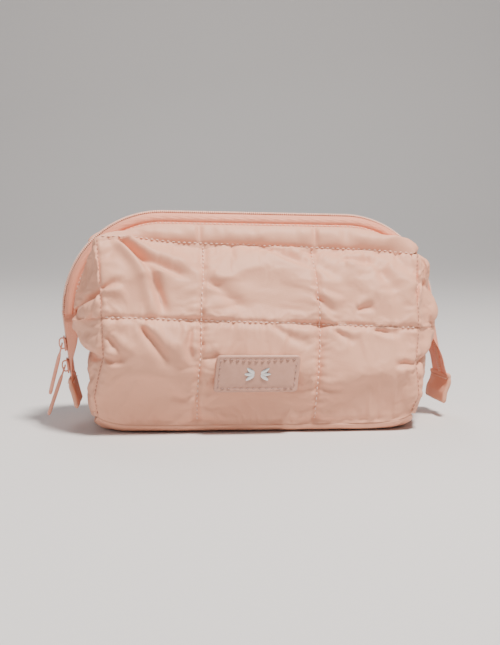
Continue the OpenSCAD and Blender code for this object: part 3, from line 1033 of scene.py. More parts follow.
    def sew(self, name: str, path: Array, grid_normal: Array, body: Optional[str] = None,
            pitch: float = 3.1 * MM) -> None:
        """Sews a row of quilting stitches on a wall, and puts it on a body if one is given.

        Args:
            name: the row's name.
            path: the seam's points.
            grid_normal: the fabric's normal at each point.
            body: the body that carries it whole, if any; otherwise its transform is baked.
            pitch: the distance from stitch to stitch.
        """
        row = stitch_row(name, path, grid_normal, self.finishes.thread, pitch=pitch, lift=0.45 * MM)
        if body:
            keep(row, body, "shell_fabric")
        else:
            self.bend(row)

    def sew_side(self, name: str, panel: Array, out: Array, column: int) -> None:
        """Sews a row of thread along a side seam, coloured dark as painted shade for the groove where the wall
        meets the gusset.

        Args:
            name: the row's name.
            panel: the leaned panel's points.
            out: the panel's normals.
            column: the panel's edge column, 0 or -1.
        """
        inward = 1 if column == 0 else -2
        lift = out[:, inward] + np.sign(panel[:, column] - panel[:, inward]) * np.array([0.5, 0, 0])
        row = stitch_row(name, panel[1:-1, column], lift[1:-1], self.finishes.seam_thread, pitch=2.6 * MM,
                         fill=0.7, radius=0.3 * MM, lift=0.25 * MM)
        self.bend(row)

    def build_side(self, side: Side, front: Array,
                   gussets: dict[tuple[Side, End], tuple[Array, Array]]) -> None:
        """Builds one half: its wall, its two gusset halves, and their linings and stitches.

        Args:
            side: which half.
            front: the front wall's puffed points.
            gussets: each gusset half and its lining.
        """
        word = side.word
        wall = side.turned(front)
        piece = self.place_wall(f"{word}_panel", wall, self.finishes.shell,
                                [f"{word}_lower_shell", f"{word}_lower_wadding", f"{word}_upper_shell",
                                 f"{word}_upper_wadding"])
        leaned = lean(wall)
        out = normals(leaned)
        column = int(round((self.walls.quilt_x / HALF_WIDTH + 1) / 2 * (self.columns - 1)))
        mirror_column = self.columns - 1 - column
        for place, index in (("left", mirror_column), ("right", column)):
            self.sew(f"{word}_{place}_quilt_stitches", leaned[2:-1, index], out[2:-1, index])
        fold = self.low_rows - 1
        self.sew(f"{word}_fold_stitches", leaned[fold, 2:-2], out[fold, 2:-2], pitch=3.3 * MM)
        self.sew(f"{word}_channel_stitches", leaned[-1, 2:-2], out[-2, 2:-2], side.flap, pitch=3.3 * MM)
        plain = side.turned(self.front_grid()[0])[::3, ::3]
        inner = plain - normals(plain) * WALL
        inner = inner + normals(plain) * (0.7 * MM * soft_noise(inner, 18 * MM, 21.0))[..., None]
        inner[..., 0] -= np.sign(inner[..., 0]) * 6.5 * MM * np.abs(inner[..., 0] / HALF_WIDTH) ** 6
        self.place_wall(f"{word}_lining", inner, self.finishes.lining,
                        [f"{word}_lower_lining", f"{word}_upper_lining"], level=1)
        for end in End:
            half, inside = gussets[(side, end)]
            at = end.name.lower()
            turned_at = at if side is Side.FRONT else End(-end.value).name.lower()
            stood_for = [f"{word}_{turned_at}_wing"]
            lined = []
            if side is Side.FRONT:
                stood_for += [f"{at}_gusset_shell", f"{at}_gusset_wadding"]
                lined = [f"{at}_gusset_lining"]
            gusset_piece = self.place_wall(f"{word}_{at}_gusset", half, self.finishes.shell, stood_for)
            edge = 0 if end.value == side.value else -1
            self.sew_side(f"{word}_{at}_seam_stitches", leaned, out, edge)
            self.place_wall(f"{word}_{at}_gusset_lining", inside, self.finishes.lining, lined,
                            level=1)

    def build_base(self) -> None:
        """Builds the padded base and its lining."""
        count = 60
        w = np.linspace(-1, 1, count, endpoint=False)
        front = np.stack([w * HALF_WIDTH, -(HALF_DEPTH - 2.6 * MM + 1.2 * MM * (1 - w ** 4))], axis=-1)
        right = np.stack([HALF_WIDTH + 3.5 * MM * (1 - w ** 2), w * (HALF_DEPTH - 2.6 * MM)], axis=-1)
        loop = np.concatenate([front, right, -front, -right])
        corner = np.concatenate([np.abs(w) ** 12, np.abs(w) ** 6] * 2)
        rows = []
        for deep, height in BASE_PROFILE:
            drawn = deep + 5.0 * corner * max(0.0, 1 - height / 5)
            flat = loop * np.stack([(97 - drawn) / 97, (44 - drawn) / 44], axis=-1)
            puff = 1.3 * MM * np.sin(np.arange(len(loop)) * 0.83 + 1.4 * np.sin(np.arange(len(loop)) * 0.31))
            ripple = puff * math.exp(-((height - 3.4) / 1.7) ** 2)
            unit = flat / np.linalg.norm(flat, axis=1, keepdims=True)
            lift = 5.3 * corner * smooth(np.array((height - 0.5) / 3.5))
            up = (height + lift + 0.5 * ripple / MM) * MM
            rows.append(np.column_stack([flat + unit * ripple[:, None], np.maximum(up, 0.2 * MM)]))
        grid = np.array(rows)
        faces = grid_faces(len(rows), len(loop), True) + [tuple(range(len(loop)))[::-1]]
        piece = make_mesh("base_pad", lean(grid), faces, self.finishes.shell, level=1)
        keep(piece, "lower_body", "shell_fabric", "base_shell", "base_wadding")
        floor_rows = []
        for share, height in BASE_FLOOR:
            flat = loop * share * np.array([(97 - 4) / 97, (44 - 4) / 44])
            floor_rows.append(np.column_stack([flat, np.full(len(loop), height * MM)]))
        lining = grid_piece("base_lining_sheet", np.array(floor_rows), self.finishes.lining, closed=True,
                            level=1)
        keep(lining, "lower_body", "lining", "base_lining")

    def build(self) -> None:
        """Builds every soft wall."""
        front = self.quilted_front()
        gussets = {}
        for side in Side:
            for end in End:
                seam = front[:, 0] if side.value == end.value else front[:, -1] * np.array([-1.0, 1.0, 1.0])
                half = self.puffed_gusset(f"{side.word}_{end.name.lower()}_gusset_cloth", seam, LOOKS[end])
                mirror = np.array([-float(end.value), -float(side.value), 1.0])
                pair = [grid * mirror for grid in (half, self.gusset_lining(seam, LOOKS[end]))]
                step = -1 if mirror[0] * mirror[1] < 0 else 1
                gussets[(side, end)] = tuple(grid[:, ::step] for grid in pair)
        for side in Side:
            self.build_side(side, front, gussets)
        self.build_base()


# The zip tape's section, as the distance from the shoulder's centre and from the middle in mm.
TAPE_PROFILE = ((52.4, 8.6), (53.8, 9.3), (54.6, 8.9), (55.0, 8.0), (55.5, 8.6), (56.8, 8.9), (58.4, 8.3),
                (59.7, 6.8), (60.4, 5.0), (60.5, 3.6), (60.1, 2.6))


class Mouth:
    """The wire channels, zip tapes and coils on both sides of the arch."""

    def __init__(self, finishes: Finishes, walls: Walls) -> None:
        """Keeps the finishes and shapes."""
        self.finishes = finishes
        self.walls = walls

    def on_side(self, grid: Array, side: Side) -> Array:
        """Puts a grid of the front half on either half of the leaned arch."""
        return lean(side.turned(grid), full=True)

    def channel(self, side: Side) -> None:
        """Builds the gathered fabric channel, its inner face and the stitches along the tape.

        Args:
            side: the half that it is on.
        """
        stations, across = 421, 17
        angle, shift = self.walls.arch_way(stations)
        foot = self.walls.channel_foot(angle, shift)
        edge = self.walls.arch_point(angle, shift, self.walls.tape_r, -self.walls.tape_y)
        steep = np.where(angle <= 90, angle, 180 - angle)
        free = smooth((steep - 30) / 16)
        foot = edge + (foot - edge) * (0.12 + 0.88 * free)[:, None]
        w = np.linspace(0, 1, across)[:, None, None]
        grid = foot[None] * (1 - w) + edge[None] * w
        out = normals(grid)
        way = np.linspace(0, 1, stations)[None, :]
        ww = np.linspace(0, 1, across)[:, None]
        arch = np.sin(math.pi * ww) ** 0.62
        x = grid[..., 0]
        quilt = np.exp(-((np.abs(x) - self.walls.quilt_x) / (1.8 * MM)) ** 2) * (grid[..., 2] > 0.105)
        gather = soft_noise(grid * np.array([1.0, 0.35, 0.35]), 5.5 * MM, 5.0) * 0.55
        gather = gather + soft_noise(grid, 11 * MM, 9.0) * 0.7
        swell = 4.0 + 4.5 * np.exp(-((angle - 132) / 24) ** 2)[None, :]
        gather = 2.0 * gather * (0.4 + 0.6 * np.sin(math.pi * ww))
        height = free[None, :] * (swell + gather) * arch * (1 - 0.55 * quilt)
        ends = smooth(way / 0.02) * smooth((1 - way) / 0.02)
        grid = grid + out * (height * MM * (0.3 + 0.7 * ends))[..., None]
        piece = grid_piece(f"{side.word}_channel_cover", self.on_side(grid, side), self.finishes.shell)
        keep(piece, side.flap, "shell_fabric", f"{side.word}_wire_channel")
        inner = foot[None, ::2] * (1 - w[::2]) + edge[None, ::2] * w[::2]
        depth = 4.6 * MM * np.sin(math.pi * (0.12 + 0.76 * (1 - w[::2, 0])))
        inner = inner - normals(inner) * depth[..., None]
        face = grid_piece(f"{side.word}_channel_inside", self.on_side(inner, side), self.finishes.lining)
        keep(face, side.flap, "lining")
        top = self.on_side(edge[None], side)[0]
        outward = self.on_side((edge + normals(grid)[-2])[None], side)[0] - top
        row = stitch_row(f"{side.word}_tape_stitches", top[4:-4], outward[4:-4], self.finishes.thread,
                         pitch=2.6 * MM, lift=0.35 * MM)
        keep(row, side.flap, "zip_tape")

    def tape(self, side: Side) -> None:
        """Builds the woven tape that rises from the channel to the coil."""
        stations = 331
        angle, shift = self.walls.arch_way(stations)
        grid = np.array([self.walls.arch_point(angle, shift, r * MM, -y * MM) for r, y in TAPE_PROFILE])
        piece = grid_piece(f"{side.word}_tape", self.on_side(grid, side), self.finishes.tape, level=1)
        thicken(piece, 0.45 * MM)
        keep(piece, side.flap, "zip_tape", f"{side.word}_zip_tape")

    def coil(self, side: Side) -> None:
        """Builds the nylon coil's row of turns along the arch."""
        arc = ARCH_R * math.radians(93)
        length = 2 * arc + 2 * SHOULDER_X
        count = int(length / COIL_PITCH)
        s = (np.arange(count) + (0.25 if side is Side.FRONT else 0.75)) * COIL_PITCH
        right = np.where(s > length - arc, 183 - 93 * (length - s) / arc, 90.0)
        angle = np.where(s < arc, -3 + 93 * s / arc, right)
        shift = np.clip((s - arc) / (2 * SHOULDER_X), 0, 1) * 2 - 1
        piece = coil_turns(f"{side.word}_coil", angle, shift, self.walls, self.finishes.coil)
        flip = np.array([1.0, 1.0 if side is Side.FRONT else -1.0, 1.0])
        move_points(piece, lean(point_array(piece) * flip, full=True))
        if side is Side.BACK:
            piece.data.flip_normals()
        keep(piece, side.flap, "zip_coil", f"{side.word}_zip_teeth")

    def build(self) -> None:
        """Builds both halves of the mouth."""
        for side in Side:
            self.channel(side)
            self.tape(side)
            self.coil(side)
            log.info("%s half of the mouth is built", side.word)


def turn_shape(rings: int = 7, sides: int = 8, reach: float = 2.9 * MM,
               radius: float = 0.55 * MM) -> tuple[Array, list]:
    """One turn of the coil: a rounded bar from just past the middle to the tape, thickest at its head.

    Args:
        rings: rings along the bar.
        sides: points round it.
        reach: how far it goes from the middle.
        radius: its radius.

    Returns:
        Its points as (along the zip, y, outward), and its faces.
    """
    points, faces = [], []
    for k in range(rings):
        t = k / (rings - 1)
        y = 0.15 * MM - reach * t
        r = radius * math.sqrt(max(0.08, 1 - (2 * t - 1) ** 6)) * (1.12 - 0.2 * t)
        for q in range(sides):
            a = 2 * math.pi * q / sides
            points.append((r * 0.9 * math.cos(a), y, r * 1.9 * math.sin(a)))
    for k in range(rings - 1):
        for q in range(sides):
            a, b = k * sides + q, k * sides + (q + 1) % sides
            faces.append((a, a + sides, b + sides, b))
    faces.append(tuple(range(sides)))
    faces.append(tuple((rings - 1) * sides + q for q in reversed(range(sides))))
    return np.array(points), faces


def coil_turns(name: str, angle: Array, shift: Array, walls: Walls,
               finish: bpy.types.Material) -> bpy.types.Object:
    """Builds a row of coil turns on the front of the arch, before it leans.

    Args:
        name: the row's name.
        angle: each turn's angle over the arch.
        shift: each turn's shift along the straight top run.
        walls: the arch's shape.
        finish: its material.

    Returns:
        One mesh that holds every turn.
    """
    shape, faces = turn_shape()
    middle = walls.arch_point(angle, shift, np.full_like(angle, ARCH_R), 0.0)
    a = np.radians(angle)
    out = np.stack([-np.cos(a), 0 * a, np.sin(a)], axis=-1)
    along = np.stack([np.sin(a), 0 * a, np.cos(a)], axis=-1)
    points = (middle[:, None] + along[:, None] * shape[None, :, :1] + out[:, None] * shape[None, :, 2:]
              + np.array([0, 1.0, 0]) * shape[None, :, 1:2])
    all_faces = [tuple(i + k * len(shape) for i in f) for k in range(len(angle)) for f in faces]
    return make_mesh(name, points, all_faces, finish)


@dataclass
class ZipEnd:
    """One free end of the zip with its folded fabric tab, drawn flat and then hung in its place.

    Its own frame has z up along the zip, x away from the bag and y to the back, and starts at the arch's end.
    """

    end: End
    finishes: Finishes
    length: float = 47.5 * MM
    half_tape: float = 13.0 * MM
    tab_height: float = 19 * MM
    tab_half: float = 14.6 * MM
    tilt: float = 7.9
    tab_tilt: float = 6.0
    tab_turn: float = 10.0

    def hang(self, points: Array) -> Array:
        """Turns points about the end of the tape, as the tab hangs a little twisted.

        Args:
            points: places in the end's own frame.

        Returns:
            The turned places.
        """
        pivot = np.array([0, 0, -self.length + self.tab_height - 5.5 * MM])
        x, y, z = np.moveaxis(points - pivot, -1, 0)
        share = smooth(-z / (0.7 * self.tab_height))
        turn, tilt = math.radians(self.tab_turn), math.radians(self.tab_tilt) * share
        x, y = x * math.cos(turn) - y * math.sin(turn), x * math.sin(turn) + y * math.cos(turn)
        c, s = np.cos(tilt), np.sin(tilt)
        return np.stack([x * c + z * s, y, z * c - x * s], axis=-1) + pivot

    def narrow(self, z: Array) -> Array:
        """The share of its width that the tape has left at each height, where it gathers under the arch."""
        return 1 - 0.34 * smooth((z + 14 * MM) / (18 * MM))

    def crook(self, y: Array, z: Array) -> Array:
        """Finds how far the tape's two edges fold back towards the bag, less and less down to the tab.

        Args:
            y: the distance across the tape.
            z: the height along it.

        Returns:
            The shift along x.
        """
        share = smooth((z + self.length - 9 * MM) / (self.length - 9 * MM))
        flat = 4.5 / self.narrow(z)
        inner = (flat + (2.2 - flat) * smooth((z + 0.4 * MM) / (4 * MM))) * MM
        angle = np.radians(1 + 41 * share)
        return -np.tan(angle) * np.maximum(np.abs(y) - inner, 0) - np.maximum(z, 0) ** 2 / (2 * ARCH_R)

    def place(self, points: Array) -> Array:
        """Hangs points of the end's own frame on the arch.

        Args:
            points: places in the end's own frame.

        Returns:
            Their places on the bag.
        """
        a = math.radians(self.tilt)
        x, y, z = points[..., 0], points[..., 1], points[..., 2]
        if self.end is End.LEFT:
            px = -SHOULDER_X - (ARCH_R + x) * math.cos(a) - z * math.sin(a)
            pz = ARCH_Z - (ARCH_R + x) * math.sin(a) + z * math.cos(a)
        else:
            px = SHOULDER_X + ARCH_R + x * math.cos(a) - z * math.sin(a)
            pz = ARCH_Z + x * math.sin(a) + z * math.cos(a)
        return lean(np.stack([px, y, pz], axis=-1), full=True)

    def fit(self, piece: bpy.types.Object, flip: bool) -> None:
        """Moves a piece's mesh from the end's own frame into its place."""
        move_points(piece, self.place(point_array(piece)))
        if flip:
            piece.data.flip_normals()

    @property
    def body(self) -> str:
        """The body that the end rides on."""
        return f"{self.end.name.lower()}_tail"

    def settle(self, piece: bpy.types.Object, slot: str, *nodes: str) -> None:
        """Hangs a finished piece on the end's body, and hides the frame's nodes that it stands for."""
        self.fit(piece, self.end is End.LEFT)
        keep(piece, self.body, slot, *nodes)

    def build(self) -> None:
        """Builds the tape, the coil and the tab."""
        word = self.end.name.lower()
        top = 7.0 * MM if self.end is End.LEFT else 1.0 * MM
        z = np.linspace(-self.length, top, 40)
        y = np.linspace(-self.half_tape, self.half_tape, 25)
        yy, zz = np.meshgrid(y, z)
        narrow = self.narrow(zz)
        low = smooth((-zz - 0.62 * self.length) / (0.3 * self.length))[..., None]
        loose = smooth((zz + self.length - 12 * MM) / (12 * MM))
        wave = 0.8 * MM * np.sin(zz / (6 * MM)) * (yy / self.half_tape) ** 2 * loose
        flat = np.stack([wave + self.crook(yy, zz), yy * narrow, zz], axis=-1)
        grid = flat * (1 - low) + self.hang(flat) * low
        tape = grid_piece(f"{word}_end_tape", grid, self.finishes.tape, level=1)
        thicken(tape, 0.5 * MM, 0.0)
        self.settle(tape, "zip_tape", f"{word}_tail_tape")
        shape, faces = turn_shape()
        points, all_faces = [], []
        for side in (-1, 1):
            for k in range(int((self.length + top - 1 * MM) / COIL_PITCH)):
                at = top - (k + (0.25 if side < 0 else 0.75)) * COIL_PITCH
                base = len(points) * len(shape)
                points.append(np.stack([shape[:, 2] * 0.95, -side * shape[:, 1], at + shape[:, 0]], axis=-1))
                all_faces += [tuple(i + base for i in (f if side > 0 else f[::-1])) for f in faces]
        coil = make_mesh(f"{word}_end_coil", np.array(points), all_faces, self.finishes.coil)
        self.settle(coil, "zip_coil", f"{word}_tail_teeth")
        self.build_tab(word)

    def build_tab(self, word: str) -> None:
        """Builds the folded tab: two fabric faces round the zip's end, sewn across the top and down the sides.

        Args:
            word: the end's name.
        """
        bottom = -self.length - 5.5 * MM
        rows, columns = 26, 34
        around = []
        heights = np.linspace(0, self.tab_height, rows)
        for face in (1, -1):
            for z in (heights if face > 0 else heights[::-1]):
                y = np.linspace(-self.tab_half, self.tab_half, columns)
                rim = np.minimum(1, np.minimum((self.tab_height - z), 9) / (1.6 * MM))
                across = 1 - (y / self.tab_half) ** 4
                swell = 1.35 * MM + 0.5 * MM * np.sin(math.pi * z / self.tab_height) * across
                seam = 0.45 * MM * np.exp(-((self.tab_height - z - 3 * MM) / (1.0 * MM)) ** 2)
                fold = 0.25 + 0.75 * min(1.0, (z / (1.5 * MM)) ** 0.5) if z < 1.5 * MM else 1.0
                x = face * ((swell - seam) * fold * (0.55 + 0.45 * rim))
                point = np.stack([np.broadcast_to(x, y.shape), y, np.full_like(y, bottom + z)], axis=-1)
                point[:, 0] += 0.35 * MM * soft_noise(point, 7 * MM, 31.0)
                around.append(point)
        grid = np.array(around)
        total = len(around)
        faces = grid_faces(total, columns)
        for edge in (0, columns - 1):
            for k in range(rows - 1):
                faces.append(tuple(row * columns + edge for row in (k, k + 1, total - 2 - k, total - 1 - k)))
        last = (total - 1) * columns
        faces += [(k, last + k, last + k + 1, k + 1) for k in range(columns - 1)]
        tab = make_mesh(f"{word}_fabric_tab", grid, faces, self.finishes.shell)
        face_outward(tab)
        tab.data.shade_smooth()
        move_points(tab, self.hang(point_array(tab)))
        self.settle(tab, "shell_fabric", f"{word}_tab")
        for face, sign in (("outer", 1), ("inner", -1)):
            y = np.linspace(-self.tab_half + 1 * MM, self.tab_half - 1 * MM, 30)
            height = bottom + self.tab_height - 3 * MM
            path = np.stack([np.full_like(y, sign * 1.25 * MM), y, np.full_like(y, height)], axis=-1)
            outward = np.tile(np.array([float(sign), 0, 0]), (len(y), 1))
            row = stitch_row(f"{word}_{face}_tab_stitches", self.hang(path), outward, self.finishes.thread,
                             pitch=2.4 * MM)
            self.settle(row, "shell_fabric")


# The slider plate's outline, as shares of its half width and half length.
PLATE = ((-0.62, -1.0), (0.62, -1.0), (0.86, -0.6), (0.9, -0.1), (1.0, 0.35), (1.0, 0.75), (0.7, 1.0),
         (0.25, 0.93), (-0.25, 0.93), (-0.7, 1.0), (-1.0, 0.75), (-1.0, 0.35), (-0.9, -0.1), (-0.86, -0.6))
PLATE_HALF_WIDTH = 4.2 * MM
PLATE_HALF_LENGTH = 4.7 * MM
# The side walls and the wedge, as ranges in x, y and z in mm.
SLIDER_BOXES = (((0.7, 2.1), (3.45, 4.0), (-3.0, 3.6)), ((0.7, 2.1), (-4.0, -3.45), (-3.0, 3.6)),
                ((-2.1, -0.7), (3.45, 4.0), (-3.0, 3.6)), ((-2.1, -0.7), (-4.0, -3.45), (-3.0, 3.6)),
                ((-2.0, 2.0), (-0.5, 0.5), (2.9, 4.5)))
# The bridge's middle line, as (x, z) in mm.
BRIDGE = ((2.0, -3.4), (3.6, -3.5), (4.7, -2.6), (5.1, -0.8), (5.1, 0.8), (4.7, 2.4), (3.6, 3.2), (2.0, 3.1))
# The puller's stick, as height, half width and half thickness in mm.
STICK = ((-6.3, 2.1, 0.7), (-7.6, 2.2, 0.95), (-9.2, 1.8, 1.15), (-12, 1.55, 1.2), (-20, 1.6, 1.2),
         (-28, 1.75, 1.2), (-30.8, 1.75, 1.2), (-32.2, 1.3, 1.0), (-32.9, 0.7, 0.6))


def skin(mesh: bmesh.types.BMesh, rings: Sequence[Sequence[bmesh.types.BMVert]]) -> None:
    """Joins rings of points into one closed body.

    Args:
        mesh: the mesh that holds the points.
        rings: the rings, from one end to the other.
    """
    for first, second in zip(rings, rings[1:]):
        for i in range(len(first)):
            j = (i + 1) % len(first)
            mesh.faces.new([first[i], first[j], second[j], second[i]])
    mesh.faces.new(rings[0][::-1])
    mesh.faces.new(rings[-1])


def metal_piece(name: str, mesh: bmesh.types.BMesh, finish: bpy.types.Material, bevel: float,
                segments: int) -> bpy.types.Object:
    """Makes a smooth metal piece with soft edges from a drawn mesh, and frees the mesh.

    Args:
        name: the piece's name.
        mesh: its drawn mesh.
        finish: its material.
        bevel: the width of its soft edges.
        segments: the steps in each soft edge.

    Returns:
        The finished piece.
    """
    bmesh.ops.recalc_face_normals(mesh, faces=mesh.faces)
    data = bpy.data.meshes.new(name)
    mesh.to_mesh(data)
    mesh.free()
    data.materials.append(finish)
    piece = bpy.data.objects.new(name, data)
    bpy.context.scene.collection.objects.link(piece)
    soft = piece.modifiers.new("soft_edges", "BEVEL")
    soft.width = bevel
    soft.segments = segments
    soft.limit_method = "ANGLE"
    apply_modifiers(piece)
    piece.data.shade_smooth()
    return piece


@dataclass
class Slider:
    """A zip slider with its bridge and bar puller, drawn on the left end's own frame."""

    name: str
    drop: float
    puller_lean: float
    upside_down: bool
    zip_end: ZipEnd
    finishes: Finishes
    pivot_out: float = 3.4 * MM

    def body_mesh(self) -> bpy.types.Object:
        """Draws the slider's two waisted plates, side walls, wedge and bridge.

        Returns:
            The slider's body on its own origin.
        """
        mesh = bmesh.new()
        for low, high in ((1.25 * MM, 2.25 * MM), (-2.25 * MM, -1.25 * MM)):
            levels = ((low, 0.96), (low + 0.15 * MM, 1.0), (high - 0.15 * MM, 1.0), (high, 0.95))
            skin(mesh, [[mesh.verts.new((x, a * PLATE_HALF_WIDTH * grow, b * PLATE_HALF_LENGTH * grow))
                         for a, b in PLATE] for x, grow in levels])
        for spans in SLIDER_BOXES:
            middle = Vector([(low + high) / 2 for low, high in spans])
            size = Vector([high - low for low, high in spans])
            for v in bmesh.ops.create_cube(mesh, size=1.0)["verts"]:
                v.co = (middle + v.co * size) * MM
        rings = []
        for k, (x, z) in enumerate(BRIDGE):
            along = (Vector(BRIDGE[min(len(BRIDGE) - 1, k + 1)]) - Vector(BRIDGE[max(0, k - 1)])).normalized()
            across = Vector((-along.y, along.x)) * 0.42
            rings.append([mesh.verts.new(Vector((x + s * across.x, y, z + s * across.y)) * MM)
                          for s, y in ((-1, -0.8), (1, -0.8), (1, 0.8), (-1, 0.8))])
        skin(mesh, rings)
        return metal_piece(f"{self.name}_slider_body", mesh, self.finishes.metal, 0.22 * MM, 3)

    def puller_mesh(self) -> bpy.types.Object:
        """Draws the puller: a round bar, two arms and a slim stick with a rounded end.

        Returns:
            The puller, hanging straight down from its bar at the origin.
        """
        mesh = bmesh.new()
        rings = []
        for z, wide, thick in STICK:
            ring = []
            for a in np.linspace(0, 2 * math.pi, 16, endpoint=False):
                c, s = math.cos(a), math.sin(a)
                ring.append(mesh.verts.new(Vector((math.copysign(abs(c) ** 0.6, c) * thick,
                                                   math.copysign(abs(s) ** 0.6, s) * wide, z)) * MM))
            rings.append(ring)
        skin(mesh, rings)
        for sign in (-1, 1):
            for v in self.rod(mesh, 14, 0.5 * MM, 7.2 * MM):
                v.co = Vector((v.co.x, v.co.y * 0.8 + sign * 1.7 * MM, v.co.z - 3.4 * MM))
        for v in self.rod(mesh, 18, 0.52 * MM, 4.2 * MM):
            v.co = Vector((v.co.x, v.co.z, v.co.y))
        return metal_piece(f"{self.name}_bar_puller", mesh, self.finishes.metal, 0.12 * MM, 2)

    @staticmethod
    def rod(mesh: bmesh.types.BMesh, segments: int, radius: float, length: float) -> list[bmesh.types.BMVert]:
        """Adds a round rod along z, and gives its points."""
        made = bmesh.ops.create_cone(mesh, cap_ends=True, segments=segments, radius1=radius, radius2=radius,
                                     depth=length)
        return made["verts"]

    def build(self) -> None:
        """Builds the slider and its puller in place."""
        slider = self.body_mesh()
        points = point_array(slider)
        if self.upside_down:
            points = points * np.array([1.0, 1.0, -1.0])
            slider.data.flip_normals()
        move_points(slider, points - np.array([0, 0, self.drop]))
        self.zip_end.fit(slider, True)
        keep(slider, f"{self.name}_slider", "slider_metal", f"{self.name}_slider")
        puller = self.puller_mesh()
        points = point_array(puller)
        a = math.radians(self.zip_end.tilt + self.puller_lean)
        x = points[:, 0] * math.cos(a) - points[:, 2] * math.sin(a)
        z = points[:, 0] * math.sin(a) + points[:, 2] * math.cos(a)
        move_points(puller, np.column_stack([x + self.pivot_out, points[:, 1], z - self.drop]))
        self.zip_end.fit(puller, True)
        keep(puller, f"{self.name}_puller", "slider_metal", f"{self.name}_puller")
        log.info("%s slider and puller are built", self.name)


# The badge's section, as the inset from its edge and how proud it stands, in mm.
BADGE_PROFILE = ((0, -1.2), (0, 0.5), (0.15, 0.95), (0.6, 1.25), (1.2, 1.3), (1.9, 1.16), (2.4, 1.1),
                 (2.9, 1.16), (3.6, 1.3), (6.0, 1.35), (9.0, 1.38), (10.6, 1.4))


@dataclass
class Badge:
    """The stitched leatherette badge with its foil emblem."""

    finishes: Finishes
    centre: tuple[float, float] = (-2.4 * MM, 38.0 * MM)
    width: float = 50.6 * MM
    height: float = 22.2 * MM
    corner: float = 2.4 * MM

    def outline(self, inset: float) -> Array:
        """Draws the badge's rounded outline.

        Args:
            inset: how far it is drawn in from the badge's edge.

        Returns:
            Flat (x, z) points round the badge.
        """
        points = []
        w, h = self.width / 2 - inset, self.height / 2 - inset
        r = max(self.corner - inset, 0.3 * MM)
        w, h = w - r, h - r
        for cx, cz, start in ((w, h, 0), (-w, h, 90), (-w, -h, 180), (w, -h, 270)):
            for k in range(7):
                a = math.radians(start + 90 * k / 6)
                points.append((cx + r * math.cos(a), cz + r * math.sin(a)))
        return np.array(points)

    def on_panel(self, flat: Array, proud: Array) -> Array:
        """Lays flat points on the bulging panel.

        Args:
            flat: (x, z) points from the badge's centre.
            proud: how far each stands out from the panel.

        Returns:
            Their places on the bag.
        """
        x = flat[..., 0] + self.centre[0]
        z = flat[..., 1] + self.centre[1]
        curve = 0.9 * MM * (1 - (flat[..., 0] / (self.width / 2)) ** 2)
        y = -(HALF_DEPTH + 7.0 * MM + curve + proud)
        return lean(np.stack([x, y, z], axis=-1))

    def build(self) -> None:
        """Builds the badge, its border stitches and the emblem."""
        rows = []
        for inset, proud in BADGE_PROFILE:
            loop = self.outline(inset * MM)
            rows.append(self.on_panel(loop, np.full(len(loop), proud * MM)))
        grid = np.array(rows)
        count = grid.shape[1]
        faces = [tuple(reversed(f)) for f in grid_faces(len(rows), count, True)]
        faces.append(tuple((len(rows) - 1) * count + q for q in range(count)))
        piece = make_mesh("badge_patch", grid, faces, self.finishes.badge)
        face_outward(piece)
        piece.data.shade_smooth()
        keep(piece, "lower_body", "badge_leather", "badge")
        loop = self.outline(2.4 * MM)
        loop = np.vstack([loop, loop[:1]])
        fine = np.vstack([np.linspace(a, b, 12, endpoint=False) for a, b in zip(loop, loop[1:])])
        path = self.on_panel(fine, np.full(len(fine), 1.12 * MM))
        outward = np.tile(np.array([0.0, -1.0, 0.0]), (len(path), 1))
        row = stitch_row("badge_stitches", path, outward, self.finishes.badge_thread, pitch=3.7 * MM,
                         fill=0.58, radius=0.42 * MM, lift=0.1 * MM)
        keep(row, "lower_body", "badge_leather")
        self.emblem()

    def emblem(self) -> None:
        """Builds the plain leaf sprig in foil."""
        points, faces = [], []
        ring = 18
        for side, turn in ((side, turn) for side in (-1, 1) for turn in (-36, 0, 36)):
            a = math.radians(turn) * side
            c, s = math.cos(a), math.sin(a)
            base = len(points)
            for t in np.linspace(0, 2 * math.pi, ring, endpoint=False):
                x, z = side * (3.4 + 2.9 * math.cos(t)), 1.15 * math.sin(t) * (1 - 0.25 * math.cos(t))
                flat = np.array([side * 1.6 + x * c - z * s, x * s + z * c])
                points.append(self.on_panel(flat * MM, np.array(1.5 * MM)))
            middle = np.array([side * (1.6 + 3.4 * c), side * 3.4 * s])
            points.append(self.on_panel(middle * MM, np.array(1.68 * MM)))
            faces += [(base + k, base + (k + 1) % ring, base + ring) for k in range(ring)]
        piece = make_mesh("badge_foil_sprig", np.array(points), faces, self.finishes.foil)
        mesh = bmesh.new()
        mesh.from_mesh(piece.data)
        bmesh.ops.recalc_face_normals(mesh, faces=mesh.faces)
        for f in mesh.faces:
            if f.normal.y > 0:
                f.normal_flip()
        mesh.to_mesh(piece.data)
        mesh.free()
        keep(piece, "lower_body", "emblem_foil", "badge_emblem")


# The floor's section, as (y, z) in metres, and its half width.
SWEEP = ((-3.0, 0.0), (0.6, 0.0), (1.2, 0.0), (1.5, 0.05), (1.7, 0.2), (1.8, 0.5), (1.82, 2.5))
SWEEP_HALF_WIDTH = 4.0
LIGHT_AIM = (0, 0, 0.06)
CAMERA_PLACE = (-0.0377, -0.6945, 0.1422)
CAMERA_AIM = (-0.0013, 0.0, 0.0630)


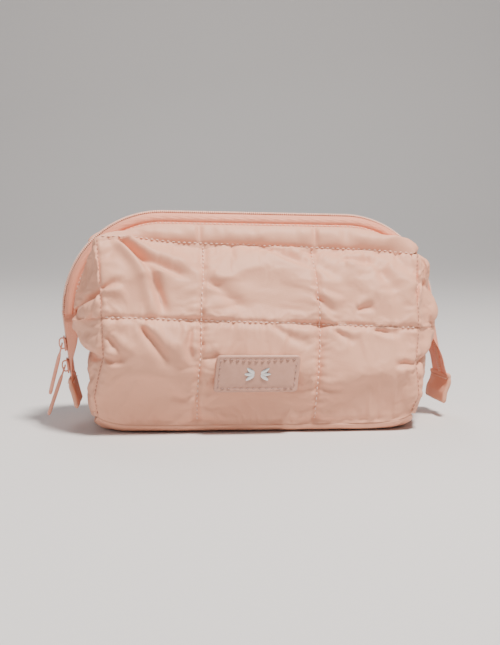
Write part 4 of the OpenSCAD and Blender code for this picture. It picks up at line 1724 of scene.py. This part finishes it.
class Studio:
    """The plain floor, the soft lights and the camera."""

    def __init__(self, finishes: Finishes) -> None:
        """Keeps the floor's finish."""
        self.finishes = finishes

    @staticmethod
    def light(name: str, place: Sequence[float], size: float, power: float, colour: Sequence[float]) -> None:
        """Adds one soft light that faces the bag.

        Args:
            name: the light's name.
            place: where it stands, in metres.
            size: its width in metres.
            power: its power in watts.
            colour: its colour.
        """
        data = bpy.data.lights.new(name, "AREA")
        data.shape = "DISK"
        data.size = size
        data.energy = power
        data.color = colour
        lamp = bpy.data.objects.new(name, data)
        bpy.context.scene.collection.objects.link(lamp)
        lamp.location = place
        lamp.rotation_euler = (Vector(LIGHT_AIM) - Vector(place)).to_track_quat("-Z", "Y").to_euler()

    def build(self) -> None:
        """Builds the floor, lights, world and camera."""
        width = np.linspace(-SWEEP_HALF_WIDTH, SWEEP_HALF_WIDTH, 9)
        grid = np.array([[(x, y, z) for x in width] for y, z in SWEEP], float)
        floor = grid_piece("studio_sweep", grid, self.finishes.floor, level=2)
        self.light("key", (0.32, -0.36, 1.28), 0.24, 35.0, (1.0, 0.955, 0.90))
        self.light("fill", (-1.1, -0.32, 0.45), 0.8, 2.8, (1.0, 0.96, 0.95))
        self.light("rim", (-0.2, 0.9, 1.1), 0.7, 5.0, (1.0, 0.98, 0.97))
        world = bpy.data.worlds.new("soft_room")
        bpy.context.scene.world = world
        world.use_nodes = True
        sky = world.node_tree.nodes["Background"].inputs
        sky["Color"].default_value = (0.88, 0.93, 1.0, 1)
        sky["Strength"].default_value = 0.23
        data = bpy.data.cameras.new("camera")
        data.lens = 60.9
        data.clip_start = 0.01
        camera = bpy.data.objects.new("camera", data)
        bpy.context.scene.collection.objects.link(camera)
        camera.location = CAMERA_PLACE
        camera.rotation_euler = (Vector(CAMERA_AIM) - camera.location).to_track_quat("-Z", "Y").to_euler()
        bpy.context.scene.camera = camera


def main() -> None:
    """Builds the whole bag around its frame."""
    logging.basicConfig(level=logging.INFO, format="%(name)s: %(message)s")
    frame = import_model()
    finishes = Finishes()
    walls = Walls()
    Studio(finishes).build()
    SoftWalls(finishes, walls).build()
    Mouth(finishes, walls).build()
    left = ZipEnd(End.LEFT, finishes, tab_tilt=6.0, tab_turn=5.0)
    right = ZipEnd(End.RIGHT, finishes, length=54.5 * MM, tilt=11.5, tab_tilt=20.0, tab_turn=4.0)
    left.build()
    right.build()
    Slider("upper", 13.6 * MM, 13, True, left, finishes).build()
    Slider("lower", 27.7 * MM, 18, False, left, finishes).build()
    Badge(finishes).build()
    for name in ("front_wire", "back_wire"):
        wire = frame["nodes"][name]
        wire.data.materials.clear()
        wire.data.materials.append(finishes.steel)


if __name__ == "__main__":
    main()
